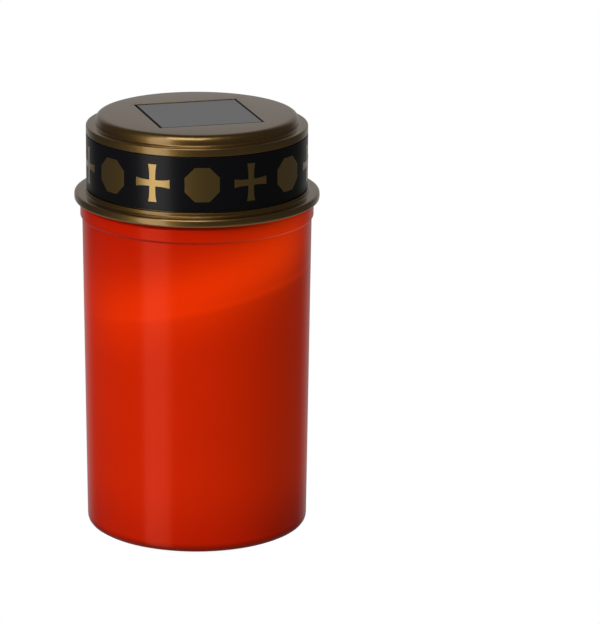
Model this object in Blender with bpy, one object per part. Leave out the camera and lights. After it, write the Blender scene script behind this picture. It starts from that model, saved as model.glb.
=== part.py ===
"""A solar grave candle on its ground spike, in metres, with +Z up.

z = 0 is the ground line, where the cup's foot ring stands. The spike goes down into the
ground, the cup is pushed onto its tenon, and the lid with its electrics sits on the cup's neck.
The solar cell's sides lie along X and Y, and the battery lies along X.
"""

import math

import bmesh
import bpy
from mathutils import Matrix, Vector

# Clearances
SEAT_GAP = 0.0003
RUN_GAP = 0.0004
CUT_MARGIN = 0.001

# Facets
ROUND_STEPS = 60
SMALL_STEPS = 20
ARC_STEPS = 4
SHARP_ANGLE = math.radians(35.0)
MERGE_DISTANCE = 1e-6

# Cup
CUP_HEIGHT = 0.1035
CUP_WALL = 0.0012
COLLAR_HEIGHT = 0.0041
COLLAR_PROUD = 0.0006
COLLAR_ROUND = 0.0006
CREASE_HEIGHT = 0.0006
CUP_DRAFT = 0.00095
FOOT_ROUND = 0.0019
FOOT_RING_WIDTH = 0.0025
FOOT_RECESS = 0.0015
NECK_ROOM = 0.0005

# Spike and its socket
SOCKET_RADIUS = 0.0063
SOCKET_DEPTH = 0.013
SPIKE_LENGTH = 0.118
SPIKE_POINT_LENGTH = 0.018
SPIKE_THICKNESS = 0.0024
SPIKE_TIP_WIDTH = 0.0012
BLADE_TOP_WIDTH = 0.022
BLADE_LOW_WIDTH = 0.0086
RIB_TOP_WIDTH = 0.013
RIB_LOW_WIDTH = 0.005

# Lid
LID_WALL = 0.0015
LID_TOP_WALL = 0.002
BEAD_PROUD = 0.00376
BEAD_HEIGHT = 0.00225
BEAD_SKIN = 0.0011
BEAD_START_ANGLE = 130.0
COLLAR_INSET = 0.00186
LEDGE_HEIGHT = 0.0015
LEDGE_PROUD = 0.0007
LEDGE_END_ANGLE = -35.0
BAND_HEIGHT = 0.0167
BAND_THICKNESS = 0.0005
STRIP_HEIGHT = 0.00185
RING_ROUND = 0.0013
RING_START_ANGLE = 125.0
GROOVE_DEPTH = 0.0004
GROOVE_WIDTH = 0.00035
CROWN_HEIGHT = 0.0024
CROWN_STEP = 0.0029
CROWN_ROUND = 0.0017

# Solar cell and its tray
CELL_SIDE = 0.032
CELL_THICKNESS = 0.001
CELL_INSET = 0.00015
PAD_LENGTH = 0.026
PAD_WIDTH = 0.019
PAD_THICKNESS = 0.0005
PAD_SHIFT = 0.004
TRAY_WALL = 0.0016
TRAY_FLOOR = 0.0012
WIRE_SLOT_INSET = 0.003

# Battery, its contacts and its bay
BATTERY_DIAMETER = 0.0105
BATTERY_LENGTH = 0.0445
BATTERY_ROUND = 0.0006
BATTERY_NUB_DIAMETER = 0.0038
BATTERY_NUB_HEIGHT = 0.0008
BATTERY_OFFSET = 0.007
CONTACT_THICKNESS = 0.0005
CONTACT_WIDTH = 0.008
CONTACT_HEIGHT = 0.007
SPRING_WIRE = 0.0005
SPRING_LENGTH = 0.004
SPRING_TURNS = 3
SPRING_POINTS_PER_TURN = 10
SPRING_WIDE_RADIUS = 0.0035
SPRING_NARROW_RADIUS = 0.0024
BAY_WALL = 0.0012
BAY_ROOF = 0.001
BAY_SEATS = 5

# Module plate that closes the lid from below
PLATE_THICKNESS = 0.002
PLATE_RIM = 0.0013
PLATE_SCREW_ANGLES = (90.0, 210.0, 330.0)
PLATE_SCREW_RADIUS = 0.001
PLATE_SCREW_LENGTH = 0.009
PLATE_SCREW_HEAD_RADIUS = 0.0022
PLATE_SCREW_HEAD_HEIGHT = 0.0009
LID_BOSS_WALL = 0.0015

# Battery door
DOOR_THICKNESS = 0.0016
TONGUE_LENGTH = 0.001
TONGUE_WIDTH = 0.002
TONGUE_THICKNESS = 0.0008
TONGUE_SPACING = 0.006
TONGUE_ROOM = 0.0012
GRIP_COUNT = 3
GRIP_LENGTH = 0.006
GRIP_WIDTH = 0.0007
GRIP_PITCH = 0.0015
GRIP_DEPTH = 0.0005
GRIP_INSET = 0.002

# Circuit board and what it carries
BOARD_LENGTH = 0.03
BOARD_WIDTH = 0.0195
BOARD_THICKNESS = 0.0016
BOARD_STANDOFF = 0.0039
BOARD_ROOM = 0.001
BOARD_SCREW_INSET = 0.003
BOARD_SCREW_RADIUS = 0.0009
BOARD_SCREW_LENGTH = 0.0045
BOARD_SCREW_HEAD_RADIUS = 0.0018
BOARD_SCREW_HEAD_HEIGHT = 0.0011
BOARD_BOSS_WALL = 0.0012
LED_RADIUS = 0.0025
LED_LENGTH = 0.0086
LED_FLANGE_RADIUS = 0.0029
LED_FLANGE_HEIGHT = 0.001
LED_EDGE_INSET = 0.0035
LED_LEAD_SPACING = 0.00254
LED_LEAD_SIDE = 0.0005
LED_LEAD_STUB = 0.0012
INDUCTOR_RADIUS = 0.003
INDUCTOR_HEIGHT = 0.0036
INDUCTOR_FLANGE = 0.0008
INDUCTOR_COIL_RADIUS = 0.0024
CHIP_LENGTH = 0.0049
CHIP_WIDTH = 0.0039
CHIP_HEIGHT = 0.0015
CHIP_LEG_PITCH = 0.00127
CHIP_LEG_COUNT = 4
CHIP_LEG_WIDTH = 0.0004
CHIP_LEG_REACH = 0.001
CHIP_LEG_THICKNESS = 0.0005

# Slide switch
SWITCH_LENGTH = 0.0085
SWITCH_WIDTH = 0.0037
SWITCH_SPACING = 0.0095
SWITCH_TRAVEL = 0.002
SWITCH_GROOVE_DEPTH = 0.0012
KNOB_LENGTH = 0.0018
KNOB_WIDTH = 0.0014
KNOB_REACH = 0.0018

# Wires
WIRE_RADIUS = 0.0005
WIRE_STEPS = 5
WIRE_PAD_INSET = 0.0037
CELL_WIRE_X = 0.0015
CELL_WIRE_PAD_X = 0.003
BATTERY_WIRE_LOOP = 0.0025

# Finishes: base colour, roughness, metallic
FINISHES = {
    "red_cup": ((0.62, 0.02, 0.003), 0.28, 0.0),
    "gold_lacquer": ((0.3, 0.2, 0.07), 0.33, 0.9),
    "band_print": ((0.008, 0.008, 0.01), 0.35, 0.0),
    "solar_film": ((0.13, 0.12, 0.125), 0.25, 0.0),
    "black_plastic": ((0.012, 0.012, 0.012), 0.5, 0.0),
    "bare_steel": ((0.55, 0.55, 0.53), 0.3, 1.0),
    "white_foam": ((0.75, 0.75, 0.72), 0.9, 0.0),
    "green_board": ((0.02, 0.14, 0.05), 0.45, 0.0),
    "warm_lens": ((0.9, 0.55, 0.15), 0.12, 0.0),
    "copper_coil": ((0.45, 0.16, 0.06), 0.4, 0.7),
    "green_sleeve": ((0.06, 0.3, 0.1), 0.35, 0.0),
    "white_plastic": ((0.7, 0.7, 0.68), 0.45, 0.0),
    "red_wire": ((0.55, 0.02, 0.015), 0.45, 0.0),
    "black_wire": ((0.012, 0.012, 0.012), 0.45, 0.0),
}

# Battery bay, from the cell it holds
BAY_HALF_WIDTH = BATTERY_DIAMETER / 2 + RUN_GAP
BAY_HALF_LENGTH = (BATTERY_LENGTH + SPRING_LENGTH + BAY_SEATS * SEAT_GAP) / 2 + CONTACT_THICKNESS
BAY_OUTER_HALF_LENGTH = BAY_HALF_LENGTH + BAY_WALL
BAY_NEAR_SIDE = BATTERY_OFFSET - BAY_HALF_WIDTH - BAY_WALL
BAY_FAR_SIDE = BATTERY_OFFSET + BAY_HALF_WIDTH + BAY_WALL

# Radii, from the bay outwards
PLATE_RADIUS = math.hypot(BAY_OUTER_HALF_LENGTH, BAY_FAR_SIDE) + PLATE_RIM
LID_BORE = PLATE_RADIUS + SEAT_GAP
RECESS_RADIUS = LID_BORE + LID_WALL
BAND_INNER_RADIUS = RECESS_RADIUS + SEAT_GAP
LID_RADIUS = BAND_INNER_RADIUS + BAND_THICKNESS
BEAD_RADIUS = LID_RADIUS + BEAD_PROUD
CROWN_RADIUS = LID_RADIUS - CROWN_STEP
CROWN_BORE = CROWN_RADIUS - LID_WALL
NECK_RADIUS = LID_BORE - SEAT_GAP
COLLAR_RADIUS = BEAD_RADIUS - COLLAR_INSET
BODY_TOP_RADIUS = COLLAR_RADIUS - COLLAR_PROUD
BODY_FOOT_RADIUS = BODY_TOP_RADIUS - CUP_DRAFT
FOOT_RADIUS = BODY_FOOT_RADIUS - FOOT_ROUND
FOOT_RING_BORE = FOOT_RADIUS - FOOT_RING_WIDTH
BOSS_RADIUS = PLATE_SCREW_RADIUS + SEAT_GAP + LID_BOSS_WALL
BOSS_CIRCLE = CROWN_BORE - BOSS_RADIUS

# Heights up the outside of the lid
LID_EDGE_Z = CUP_HEIGHT + SEAT_GAP
BEAD_TOP_Z = LID_EDGE_Z + BEAD_HEIGHT
RECESS_LOW_Z = BEAD_TOP_Z + LEDGE_HEIGHT
BAND_LOW_Z = RECESS_LOW_Z + SEAT_GAP
BAND_TOP_Z = BAND_LOW_Z + BAND_HEIGHT
RECESS_TOP_Z = BAND_TOP_Z + SEAT_GAP
RING_CENTRE_Z = RECESS_TOP_Z + STRIP_HEIGHT
RING_TOP_Z = RING_CENTRE_Z + RING_ROUND
GROOVE_Z = RING_TOP_Z - GROOVE_DEPTH
LID_TOP_Z = RING_TOP_Z + CROWN_HEIGHT

# Heights down the inside of the lid
CELL_TOP_Z = LID_TOP_Z - CELL_INSET
CELL_LOW_Z = CELL_TOP_Z - CELL_THICKNESS
PAD_TOP_Z = CELL_LOW_Z - SEAT_GAP
PAD_LOW_Z = PAD_TOP_Z - PAD_THICKNESS
TRAY_TOP_Z = PAD_LOW_Z - SEAT_GAP
TRAY_LOW_Z = TRAY_TOP_Z - TRAY_FLOOR
LID_CEILING_Z = LID_TOP_Z - LID_TOP_WALL
RING_CEILING_Z = GROOVE_Z - LID_WALL
BAY_TOP_Z = RING_CEILING_Z - SEAT_GAP
BAY_CEILING_Z = BAY_TOP_Z - BAY_ROOF
BATTERY_Z = BAY_CEILING_Z - SEAT_GAP - BATTERY_DIAMETER / 2
DOOR_TOP_Z = BATTERY_Z - BATTERY_DIAMETER / 2 - SEAT_GAP
PLATE_LOW_Z = DOOR_TOP_Z - DOOR_THICKNESS
PLATE_TOP_Z = PLATE_LOW_Z + PLATE_THICKNESS
BOARD_LOW_Z = PLATE_TOP_Z + BOARD_STANDOFF
BOARD_TOP_Z = BOARD_LOW_Z + BOARD_THICKNESS
PART_ON_BOARD_Z = BOARD_TOP_Z + SEAT_GAP
PART_UNDER_BOARD_Z = BOARD_LOW_Z - SEAT_GAP

# Heights of the cup and spike
NECK_TOP_Z = PLATE_LOW_Z - NECK_ROOM
COLLAR_LOW_Z = CUP_HEIGHT - COLLAR_HEIGHT
SOCKET_TOP_Z = FOOT_RECESS + SOCKET_DEPTH
FLOOR_TOP_Z = FOOT_RECESS + CUP_WALL
SHOULDER_Z = FOOT_RECESS - SEAT_GAP
TENON_TOP_Z = SOCKET_TOP_Z - SEAT_GAP

# Places on the board
BOARD_NEAR_Y = BAY_NEAR_SIDE - BOARD_ROOM
BOARD_FAR_Y = BOARD_NEAR_Y - BOARD_WIDTH
BOARD_MIDDLE_Y = (BOARD_NEAR_Y + BOARD_FAR_Y) / 2
BOARD_SCREW_X = BOARD_LENGTH / 2 - BOARD_SCREW_INSET
BESIDE_SCREW_X = BOARD_SCREW_X - BOARD_SCREW_HEAD_RADIUS - BOARD_ROOM
INDUCTOR_X = INDUCTOR_RADIUS - BESIDE_SCREW_X
CHIP_X = BESIDE_SCREW_X - CHIP_LENGTH / 2
LED_Y = BOARD_NEAR_Y - LED_EDGE_INSET
SWITCH_Y = LED_Y - SWITCH_SPACING
SWITCH_LOW_Z = PLATE_TOP_Z + SEAT_GAP
KNOB_X = -SWITCH_TRAVEL / 2
CELL_WIRE_PAD_Y = BOARD_FAR_Y + WIRE_PAD_INSET
BATTERY_WIRE_PAD_X = BOARD_LENGTH / 2 - WIRE_PAD_INSET
BATTERY_WIRE_PAD_Y = BOARD_NEAR_Y - WIRE_PAD_INSET


def clear_scene():
    for thing in list(bpy.data.objects):
        bpy.data.objects.remove(thing)


def finished(thing, kind):
    """Give a piece its own material."""
    colour, roughness, metallic = FINISHES[kind]
    material = bpy.data.materials.new(f"{thing.name}_{kind}")
    material.use_nodes = True
    shader = material.node_tree.nodes["Principled BSDF"]
    shader.inputs["Base Color"].default_value = (*colour, 1.0)
    shader.inputs["Roughness"].default_value = roughness
    shader.inputs["Metallic"].default_value = metallic
    thing.data.materials.append(material)


def carrier(name, parent=None):
    """An empty on a joint's axis that the pieces of one body hang on."""
    empty = bpy.data.objects.new(name, None)
    bpy.context.scene.collection.objects.link(empty)
    empty.parent = parent
    return empty


def mesh_from(name, shape):
    mesh = bpy.data.meshes.new(name)
    shape.to_mesh(mesh)
    shape.free()
    mesh.shade_smooth()
    mesh.set_sharp_from_angle(angle=SHARP_ANGLE)
    return mesh


def piece(name, shape, kind, parent=None, place=(0.0, 0.0, 0.0)):
    """A named object from a bmesh, hung on its carrier."""
    thing = bpy.data.objects.new(name, mesh_from(name, shape))
    bpy.context.scene.collection.objects.link(thing)
    thing.location = place
    thing.parent = parent
    finished(thing, kind)
    return thing


def combine(thing, label, shape, operation):
    """Join a shape to a piece, or cut it away, with a hidden operand in the piece's own frame."""
    name = f"{thing.name}_{label}"
    operand = bpy.data.objects.new(name, mesh_from(name, shape))
    bpy.context.scene.collection.objects.link(operand)
    operand.location = thing.location
    operand.parent = thing.parent
    operand.hide_render = True
    operand.display_type = "WIRE"
    boolean = thing.modifiers.new(label, "BOOLEAN")
    boolean.operation = operation
    boolean.solver = "EXACT"
    boolean.use_self = True
    boolean.object = operand


def arc(centre, radius, start, end):
    """Points along an arc in the radius and height plane, with 0 degrees outwards and 90 up."""
    points = []
    for step in range(ARC_STEPS + 1):
        angle = math.radians(start + (end - start) * step / ARC_STEPS)
        points.append((centre[0] + radius * math.cos(angle), centre[1] + radius * math.sin(angle)))
    return points


def turned(outline, steps=ROUND_STEPS):
    """A solid of revolution about Z, closed on the axis or, for a ring, on itself."""
    shape = bmesh.new()
    corners = [shape.verts.new((radius, 0.0, height)) for radius, height in outline]
    ring = outline[0][0] > 0.0
    following = corners[1:] + corners[:1] if ring else corners[1:]
    edges = [shape.edges.new(pair) for pair in zip(corners, following)]
    bmesh.ops.spin(
        shape, geom=corners + edges, cent=(0.0, 0.0, 0.0), axis=(0.0, 0.0, 1.0),
        angle=math.tau, steps=steps, use_merge=True,
    )
    bmesh.ops.remove_doubles(shape, verts=shape.verts, dist=MERGE_DISTANCE)
    bmesh.ops.recalc_face_normals(shape, faces=shape.faces)
    return shape


def box(shape, low, high):
    """Add a box between two corners."""
    low = Vector(low)
    high = Vector(high)
    placed = Matrix.Translation((low + high) / 2) @ Matrix.Diagonal((*(high - low), 1.0))
    bmesh.ops.create_cube(shape, size=1.0, matrix=placed)


def rod(shape, centre, radius, low, high):
    """Add an upright cylinder between two heights."""
    bmesh.ops.create_cone(
        shape, cap_ends=True, segments=SMALL_STEPS, radius1=radius, radius2=radius, depth=high - low,
        matrix=Matrix.Translation((centre[0], centre[1], (low + high) / 2)),
    )


def prism(outline, across, thickness):
    """A flat plate with this outline in width and height, its thickness along the other axis."""
    shape = bmesh.new()
    along = Vector((1.0, 0.0, 0.0)) if across == "Y" else Vector((0.0, 1.0, 0.0))
    normal = Vector((0.0, 1.0, 0.0)) if across == "Y" else Vector((1.0, 0.0, 0.0))
    back = normal * thickness / 2
    rim = [shape.verts.new(along * width + Vector((0.0, 0.0, height)) - back) for width, height in outline]
    face = shape.faces.new(rim)
    grown = bmesh.ops.extrude_face_region(shape, geom=[face])
    moved = [item for item in grown["geom"] if isinstance(item, bmesh.types.BMVert)]
    bmesh.ops.translate(shape, verts=moved, vec=normal * thickness)
    bmesh.ops.recalc_face_normals(shape, faces=shape.faces)
    return shape


def spike_outline(tenon_half, top_width, low_width):
    """One arm of the spike: tenon, shoulder, taper and point."""
    point_z = SPIKE_POINT_LENGTH - SPIKE_LENGTH
    right = [
        (tenon_half, TENON_TOP_Z),
        (tenon_half, SHOULDER_Z),
        (top_width / 2, SHOULDER_Z),
        (low_width / 2, point_z),
        (SPIKE_TIP_WIDTH / 2, -SPIKE_LENGTH),
    ]
    left = [(-width, height) for width, height in reversed(right)]
    return right + left


def make_spike():
    tenon_half = math.sqrt((SOCKET_RADIUS - SEAT_GAP) ** 2 - (SPIKE_THICKNESS / 2) ** 2)
    blade = prism(spike_outline(tenon_half, BLADE_TOP_WIDTH, BLADE_LOW_WIDTH), "Y", SPIKE_THICKNESS)
    spike = piece("spike", blade, "black_plastic")
    rib = prism(spike_outline(tenon_half, RIB_TOP_WIDTH, RIB_LOW_WIDTH), "X", SPIKE_THICKNESS)
    combine(spike, "rib", rib, "UNION")


def make_cup(candle):
    inner_foot = BODY_FOOT_RADIUS - CUP_WALL
    inner_round = max(FOOT_ROUND - CUP_WALL, CUP_WALL / 2)
    inside = [
        (0.0, SOCKET_TOP_Z + CUP_WALL),
        (SOCKET_RADIUS + CUP_WALL, SOCKET_TOP_Z + CUP_WALL),
        (SOCKET_RADIUS + CUP_WALL, FLOOR_TOP_Z),
        *arc((inner_foot - inner_round, FLOOR_TOP_Z + inner_round), inner_round, -90.0, 0.0),
        (BODY_TOP_RADIUS - CUP_WALL, COLLAR_LOW_Z - CREASE_HEIGHT),
        (COLLAR_RADIUS - CUP_WALL, COLLAR_LOW_Z),
        (COLLAR_RADIUS - CUP_WALL, CUP_HEIGHT - CUP_WALL),
        (NECK_RADIUS - CUP_WALL, CUP_HEIGHT - CUP_WALL),
        (NECK_RADIUS - CUP_WALL, NECK_TOP_Z),
    ]
    outside = [
        (NECK_RADIUS, NECK_TOP_Z),
        (NECK_RADIUS, CUP_HEIGHT),
        *arc((COLLAR_RADIUS - COLLAR_ROUND, CUP_HEIGHT - COLLAR_ROUND), COLLAR_ROUND, 90.0, 0.0),
        (COLLAR_RADIUS, COLLAR_LOW_Z),
        (BODY_TOP_RADIUS, COLLAR_LOW_Z - CREASE_HEIGHT),
        *arc((FOOT_RADIUS, FOOT_ROUND), FOOT_ROUND, 0.0, -90.0),
        (FOOT_RING_BORE, 0.0),
        (FOOT_RING_BORE, FOOT_RECESS),
        (SOCKET_RADIUS, FOOT_RECESS),
        (SOCKET_RADIUS, SOCKET_TOP_Z),
        (0.0, SOCKET_TOP_Z),
    ]
    piece("cup", turned(inside + outside), "red_cup", candle)


def boss_places():
    """Where the three lid bosses and their screws stand."""
    places = []
    for degrees in PLATE_SCREW_ANGLES:
        angle = math.radians(degrees)
        places.append((BOSS_CIRCLE * math.cos(angle), BOSS_CIRCLE * math.sin(angle)))
    return places


def plate_screw_seat():
    """The underside of a plate screw's countersink."""
    return PLATE_LOW_Z + PLATE_SCREW_HEAD_HEIGHT + SEAT_GAP


def wire_slot():
    """The slot in the tray floor that lets the cell's wires through, as two corners of its outline."""
    middle = -CELL_SIDE / 2 + WIRE_SLOT_INSET
    half_length = CELL_WIRE_X + WIRE_RADIUS + RUN_GAP
    half_width = WIRE_RADIUS + RUN_GAP
    return (-half_length, middle - half_width), (half_length, middle + half_width)


def make_lid_shell(lid):
    bead_round = BEAD_HEIGHT / 2
    crown = arc((CROWN_RADIUS - CROWN_ROUND, LID_TOP_Z - CROWN_ROUND), CROWN_ROUND, 90.0, 0.0)
    ring = arc((LID_RADIUS - RING_ROUND, RING_CENTRE_Z), RING_ROUND, RING_START_ANGLE, 0.0)
    ledge = arc((LID_RADIUS, RECESS_LOW_Z - LEDGE_PROUD), LEDGE_PROUD, 90.0, LEDGE_END_ANGLE)
    bead = arc((BEAD_RADIUS - bead_round, LID_EDGE_Z + bead_round), bead_round, BEAD_START_ANGLE, -90.0)
    bead_groove_z = BEAD_TOP_Z - BEAD_SKIN
    outline = [
        (0.0, LID_TOP_Z),
        *crown,
        (CROWN_RADIUS, GROOVE_Z),
        (CROWN_RADIUS + GROOVE_WIDTH, GROOVE_Z),
        *ring,
        (LID_RADIUS, RECESS_TOP_Z),
        (RECESS_RADIUS, RECESS_TOP_Z),
        (RECESS_RADIUS, RECESS_LOW_Z),
        *ledge,
        *bead,
        (BEAD_RADIUS - LID_WALL, LID_EDGE_Z),
        (BEAD_RADIUS - LID_WALL, bead_groove_z),
        (RECESS_RADIUS, bead_groove_z),
        (RECESS_RADIUS, LID_EDGE_Z),
        (LID_BORE, LID_EDGE_Z),
        (LID_BORE, RING_CEILING_Z),
        (CROWN_BORE, RING_CEILING_Z),
        (CROWN_BORE, LID_CEILING_Z),
        (0.0, LID_CEILING_Z),
    ]
    shell = piece("lid_shell", turned(outline), "gold_lacquer", lid)
    pocket_half = CELL_SIDE / 2 + SEAT_GAP
    tray_half = pocket_half + TRAY_WALL
    added = bmesh.new()
    inside_top_z = LID_CEILING_Z + LID_TOP_WALL / 2
    box(added, (-tray_half, -tray_half, TRAY_LOW_Z), (tray_half, tray_half, inside_top_z))
    for place in boss_places():
        rod(added, place, BOSS_RADIUS, PLATE_TOP_Z + SEAT_GAP, inside_top_z)
    combine(shell, "tray_and_bosses", added, "UNION")
    removed = bmesh.new()
    box(removed, (-pocket_half, -pocket_half, TRAY_TOP_Z), (pocket_half, pocket_half, LID_TOP_Z + CUT_MARGIN))
    bore_top = plate_screw_seat() + PLATE_SCREW_LENGTH
    for place in boss_places():
        rod(removed, place, PLATE_SCREW_RADIUS + SEAT_GAP, PLATE_TOP_Z, bore_top)
    combine(shell, "pocket_and_bores", removed, "DIFFERENCE")
    slot_low, slot_high = wire_slot()
    slot = bmesh.new()
    box(slot, (*slot_low, TRAY_LOW_Z - CUT_MARGIN), (*slot_high, TRAY_TOP_Z + CUT_MARGIN))
    combine(shell, "wire_slot", slot, "DIFFERENCE")


def make_band(lid):
    outline = [
        (BAND_INNER_RADIUS, BAND_TOP_Z),
        (LID_RADIUS, BAND_TOP_Z),
        (LID_RADIUS, BAND_LOW_Z),
        (BAND_INNER_RADIUS, BAND_LOW_Z),
    ]
    piece("printed_band", turned(outline), "band_print", lid)


def make_solar_cell(lid):
    cell = bmesh.new()
    half = CELL_SIDE / 2
    box(cell, (-half, -half, CELL_LOW_Z), (half, half, CELL_TOP_Z))
    piece("solar_cell", cell, "solar_film", lid)
    pad = bmesh.new()
    box(
        pad, (-PAD_LENGTH / 2, PAD_SHIFT - PAD_WIDTH / 2, PAD_LOW_Z),
        (PAD_LENGTH / 2, PAD_SHIFT + PAD_WIDTH / 2, PAD_TOP_Z),
    )
    piece("cell_pad", pad, "white_foam", lid)


def board_screw_places():
    return [(-BOARD_SCREW_X, BOARD_MIDDLE_Y), (BOARD_SCREW_X, BOARD_MIDDLE_Y)]


def board_screw_tip():
    return PART_ON_BOARD_Z - BOARD_SCREW_LENGTH


def contact_x(side):
    """The middle of a contact sheet, at the bay's end on this side."""
    return side * (BAY_HALF_LENGTH - SEAT_GAP - CONTACT_THICKNESS / 2)


def tongue_z():
    """The middle height of the door's tongues."""
    return PLATE_LOW_Z + DOOR_THICKNESS - TONGUE_THICKNESS


def make_module_base(lid):
    disc = [
        (0.0, PLATE_TOP_Z),
        (PLATE_RADIUS, PLATE_TOP_Z),
        (PLATE_RADIUS, PLATE_LOW_Z),
        (0.0, PLATE_LOW_Z),
    ]
    base = piece("module_base", turned(disc), "black_plastic", lid)
    boss_radius = BOARD_SCREW_RADIUS + SEAT_GAP + BOARD_BOSS_WALL
    added = bmesh.new()
    box(
        added, (-BAY_OUTER_HALF_LENGTH, BAY_NEAR_SIDE, PLATE_LOW_Z + PLATE_THICKNESS / 2),
        (BAY_OUTER_HALF_LENGTH, BAY_FAR_SIDE, BAY_TOP_Z),
    )
    for place in board_screw_places():
        rod(added, place, boss_radius, PLATE_LOW_Z + PLATE_THICKNESS / 2, PART_UNDER_BOARD_Z)
    combine(base, "bay_and_bosses", added, "UNION")
    bay = bmesh.new()
    box(
        bay, (-BAY_HALF_LENGTH, BAY_NEAR_SIDE + BAY_WALL, PLATE_LOW_Z - CUT_MARGIN),
        (BAY_HALF_LENGTH, BAY_FAR_SIDE - BAY_WALL, BAY_CEILING_Z),
    )
    combine(base, "bay_inside", bay, "DIFFERENCE")
    holes = bmesh.new()
    rod(holes, (0.0, LED_Y), LED_RADIUS + RUN_GAP, PLATE_LOW_Z - CUT_MARGIN, PLATE_TOP_Z + CUT_MARGIN)
    slot_half_length = (KNOB_LENGTH + SWITCH_TRAVEL) / 2 + RUN_GAP
    slot_half_width = KNOB_WIDTH / 2 + RUN_GAP
    box(
        holes, (-slot_half_length, SWITCH_Y - slot_half_width, PLATE_LOW_Z - CUT_MARGIN),
        (slot_half_length, SWITCH_Y + slot_half_width, PLATE_TOP_Z + CUT_MARGIN),
    )
    for place in board_screw_places():
        rod(holes, place, BOARD_SCREW_RADIUS + SEAT_GAP, board_screw_tip() - SEAT_GAP, BOARD_LOW_Z)
    for place in boss_places():
        rod(holes, place, PLATE_SCREW_HEAD_RADIUS + SEAT_GAP, PLATE_LOW_Z - CUT_MARGIN, plate_screw_seat())
    combine(base, "holes", holes, "DIFFERENCE")
    passages = bmesh.new()
    for place in boss_places():
        rod(passages, place, PLATE_SCREW_RADIUS + SEAT_GAP, PLATE_LOW_Z, PLATE_TOP_Z + CUT_MARGIN)
    wall_low = BAY_NEAR_SIDE - CUT_MARGIN
    wall_high = BAY_NEAR_SIDE + BAY_WALL + CUT_MARGIN
    wire_half = WIRE_RADIUS + RUN_GAP
    tongue_half = TONGUE_WIDTH / 2 + RUN_GAP
    tongue_low = tongue_z() - TONGUE_THICKNESS / 2 - RUN_GAP
    tongue_high = tongue_z() + TONGUE_THICKNESS / 2 + TONGUE_ROOM
    tongue_end = BAY_HALF_LENGTH + TONGUE_LENGTH + RUN_GAP
    for side in (-1, 1):
        middle = contact_x(side)
        box(
            passages, (middle - wire_half, wall_low, BATTERY_Z - wire_half),
            (middle + wire_half, wall_high, BATTERY_Z + wire_half),
        )
        tongue_y = BATTERY_OFFSET + side * TONGUE_SPACING / 2
        box(
            passages, (BAY_HALF_LENGTH - CUT_MARGIN, tongue_y - tongue_half, tongue_low),
            (tongue_end, tongue_y + tongue_half, tongue_high),
        )
    combine(base, "passages", passages, "DIFFERENCE")


def make_battery_door(lid):
    """The door hangs on its tongues at the +X end and swings down about the edge below them."""
    hinge = Vector((BAY_HALF_LENGTH - SEAT_GAP / 2, BATTERY_OFFSET, PLATE_LOW_Z))
    half_length = BAY_HALF_LENGTH - SEAT_GAP
    half_width = BAY_HALF_WIDTH - SEAT_GAP
    end = half_length - hinge.x
    panel = bmesh.new()
    box(panel, (-half_length - hinge.x, -half_width, 0.0), (end, half_width, DOOR_THICKNESS))
    door = piece("battery_door", panel, "black_plastic", lid, hinge)
    tongues = bmesh.new()
    low = tongue_z() - TONGUE_THICKNESS / 2 - hinge.z
    for side in (-1, 1):
        middle = side * TONGUE_SPACING / 2
        box(
            tongues, (end - TONGUE_WIDTH, middle - TONGUE_WIDTH / 2, low),
            (end + SEAT_GAP + TONGUE_LENGTH, middle + TONGUE_WIDTH / 2, low + TONGUE_THICKNESS),
        )
    combine(door, "tongues", tongues, "UNION")
    grips = bmesh.new()
    for row in range(GRIP_COUNT):
        start = -half_length - hinge.x + GRIP_INSET + row * GRIP_PITCH
        box(
            grips, (start, -GRIP_LENGTH / 2, -CUT_MARGIN),
            (start + GRIP_WIDTH, GRIP_LENGTH / 2, GRIP_DEPTH),
        )
    combine(door, "grips", grips, "DIFFERENCE")


def make_battery(lid):
    """The cell lies along X with its nub towards +X."""
    radius = BATTERY_DIAMETER / 2
    nub_radius = BATTERY_NUB_DIAMETER / 2
    body_length = BATTERY_LENGTH - BATTERY_NUB_HEIGHT
    outline = [
        (0.0, BATTERY_LENGTH),
        (nub_radius, BATTERY_LENGTH),
        (nub_radius, body_length),
        *arc((radius - BATTERY_ROUND, body_length - BATTERY_ROUND), BATTERY_ROUND, 90.0, 0.0),
        *arc((radius - BATTERY_ROUND, BATTERY_ROUND), BATTERY_ROUND, 0.0, -90.0),
        (0.0, 0.0),
    ]
    shape = turned(outline, SMALL_STEPS)
    bmesh.ops.rotate(shape, verts=shape.verts, matrix=Matrix.Rotation(math.pi / 2, 3, "Y"))
    nub_end = contact_x(1) - CONTACT_THICKNESS / 2 - SEAT_GAP
    piece("battery", shape, "green_sleeve", lid, (nub_end - BATTERY_LENGTH, BATTERY_OFFSET, BATTERY_Z))


def make_contacts(lid):
    for name, side in (("contact_plus", 1), ("contact_minus", -1)):
        sheet = bmesh.new()
        box(
            sheet, (-CONTACT_THICKNESS / 2, -CONTACT_WIDTH / 2, -CONTACT_HEIGHT / 2),
            (CONTACT_THICKNESS / 2, CONTACT_WIDTH / 2, CONTACT_HEIGHT / 2),
        )
        piece(name, sheet, "bare_steel", lid, (contact_x(side), BATTERY_OFFSET, BATTERY_Z))


def tube(name, points, radius, sides, kind, parent, place=(0.0, 0.0, 0.0)):
    """A round wire through these points, with closed ends."""
    curve = bpy.data.curves.new(name, "CURVE")
    curve.dimensions = "3D"
    curve.bevel_depth = radius
    curve.bevel_resolution = sides
    curve.use_fill_caps = True
    spline = curve.splines.new("POLY")
    spline.points.add(len(points) - 1)
    for target, point in zip(spline.points, points):
        target.co = (*point, 1.0)
    thing = bpy.data.objects.new(name, curve)
    bpy.context.scene.collection.objects.link(thing)
    thing.location = place
    thing.parent = parent
    finished(thing, kind)


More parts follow.
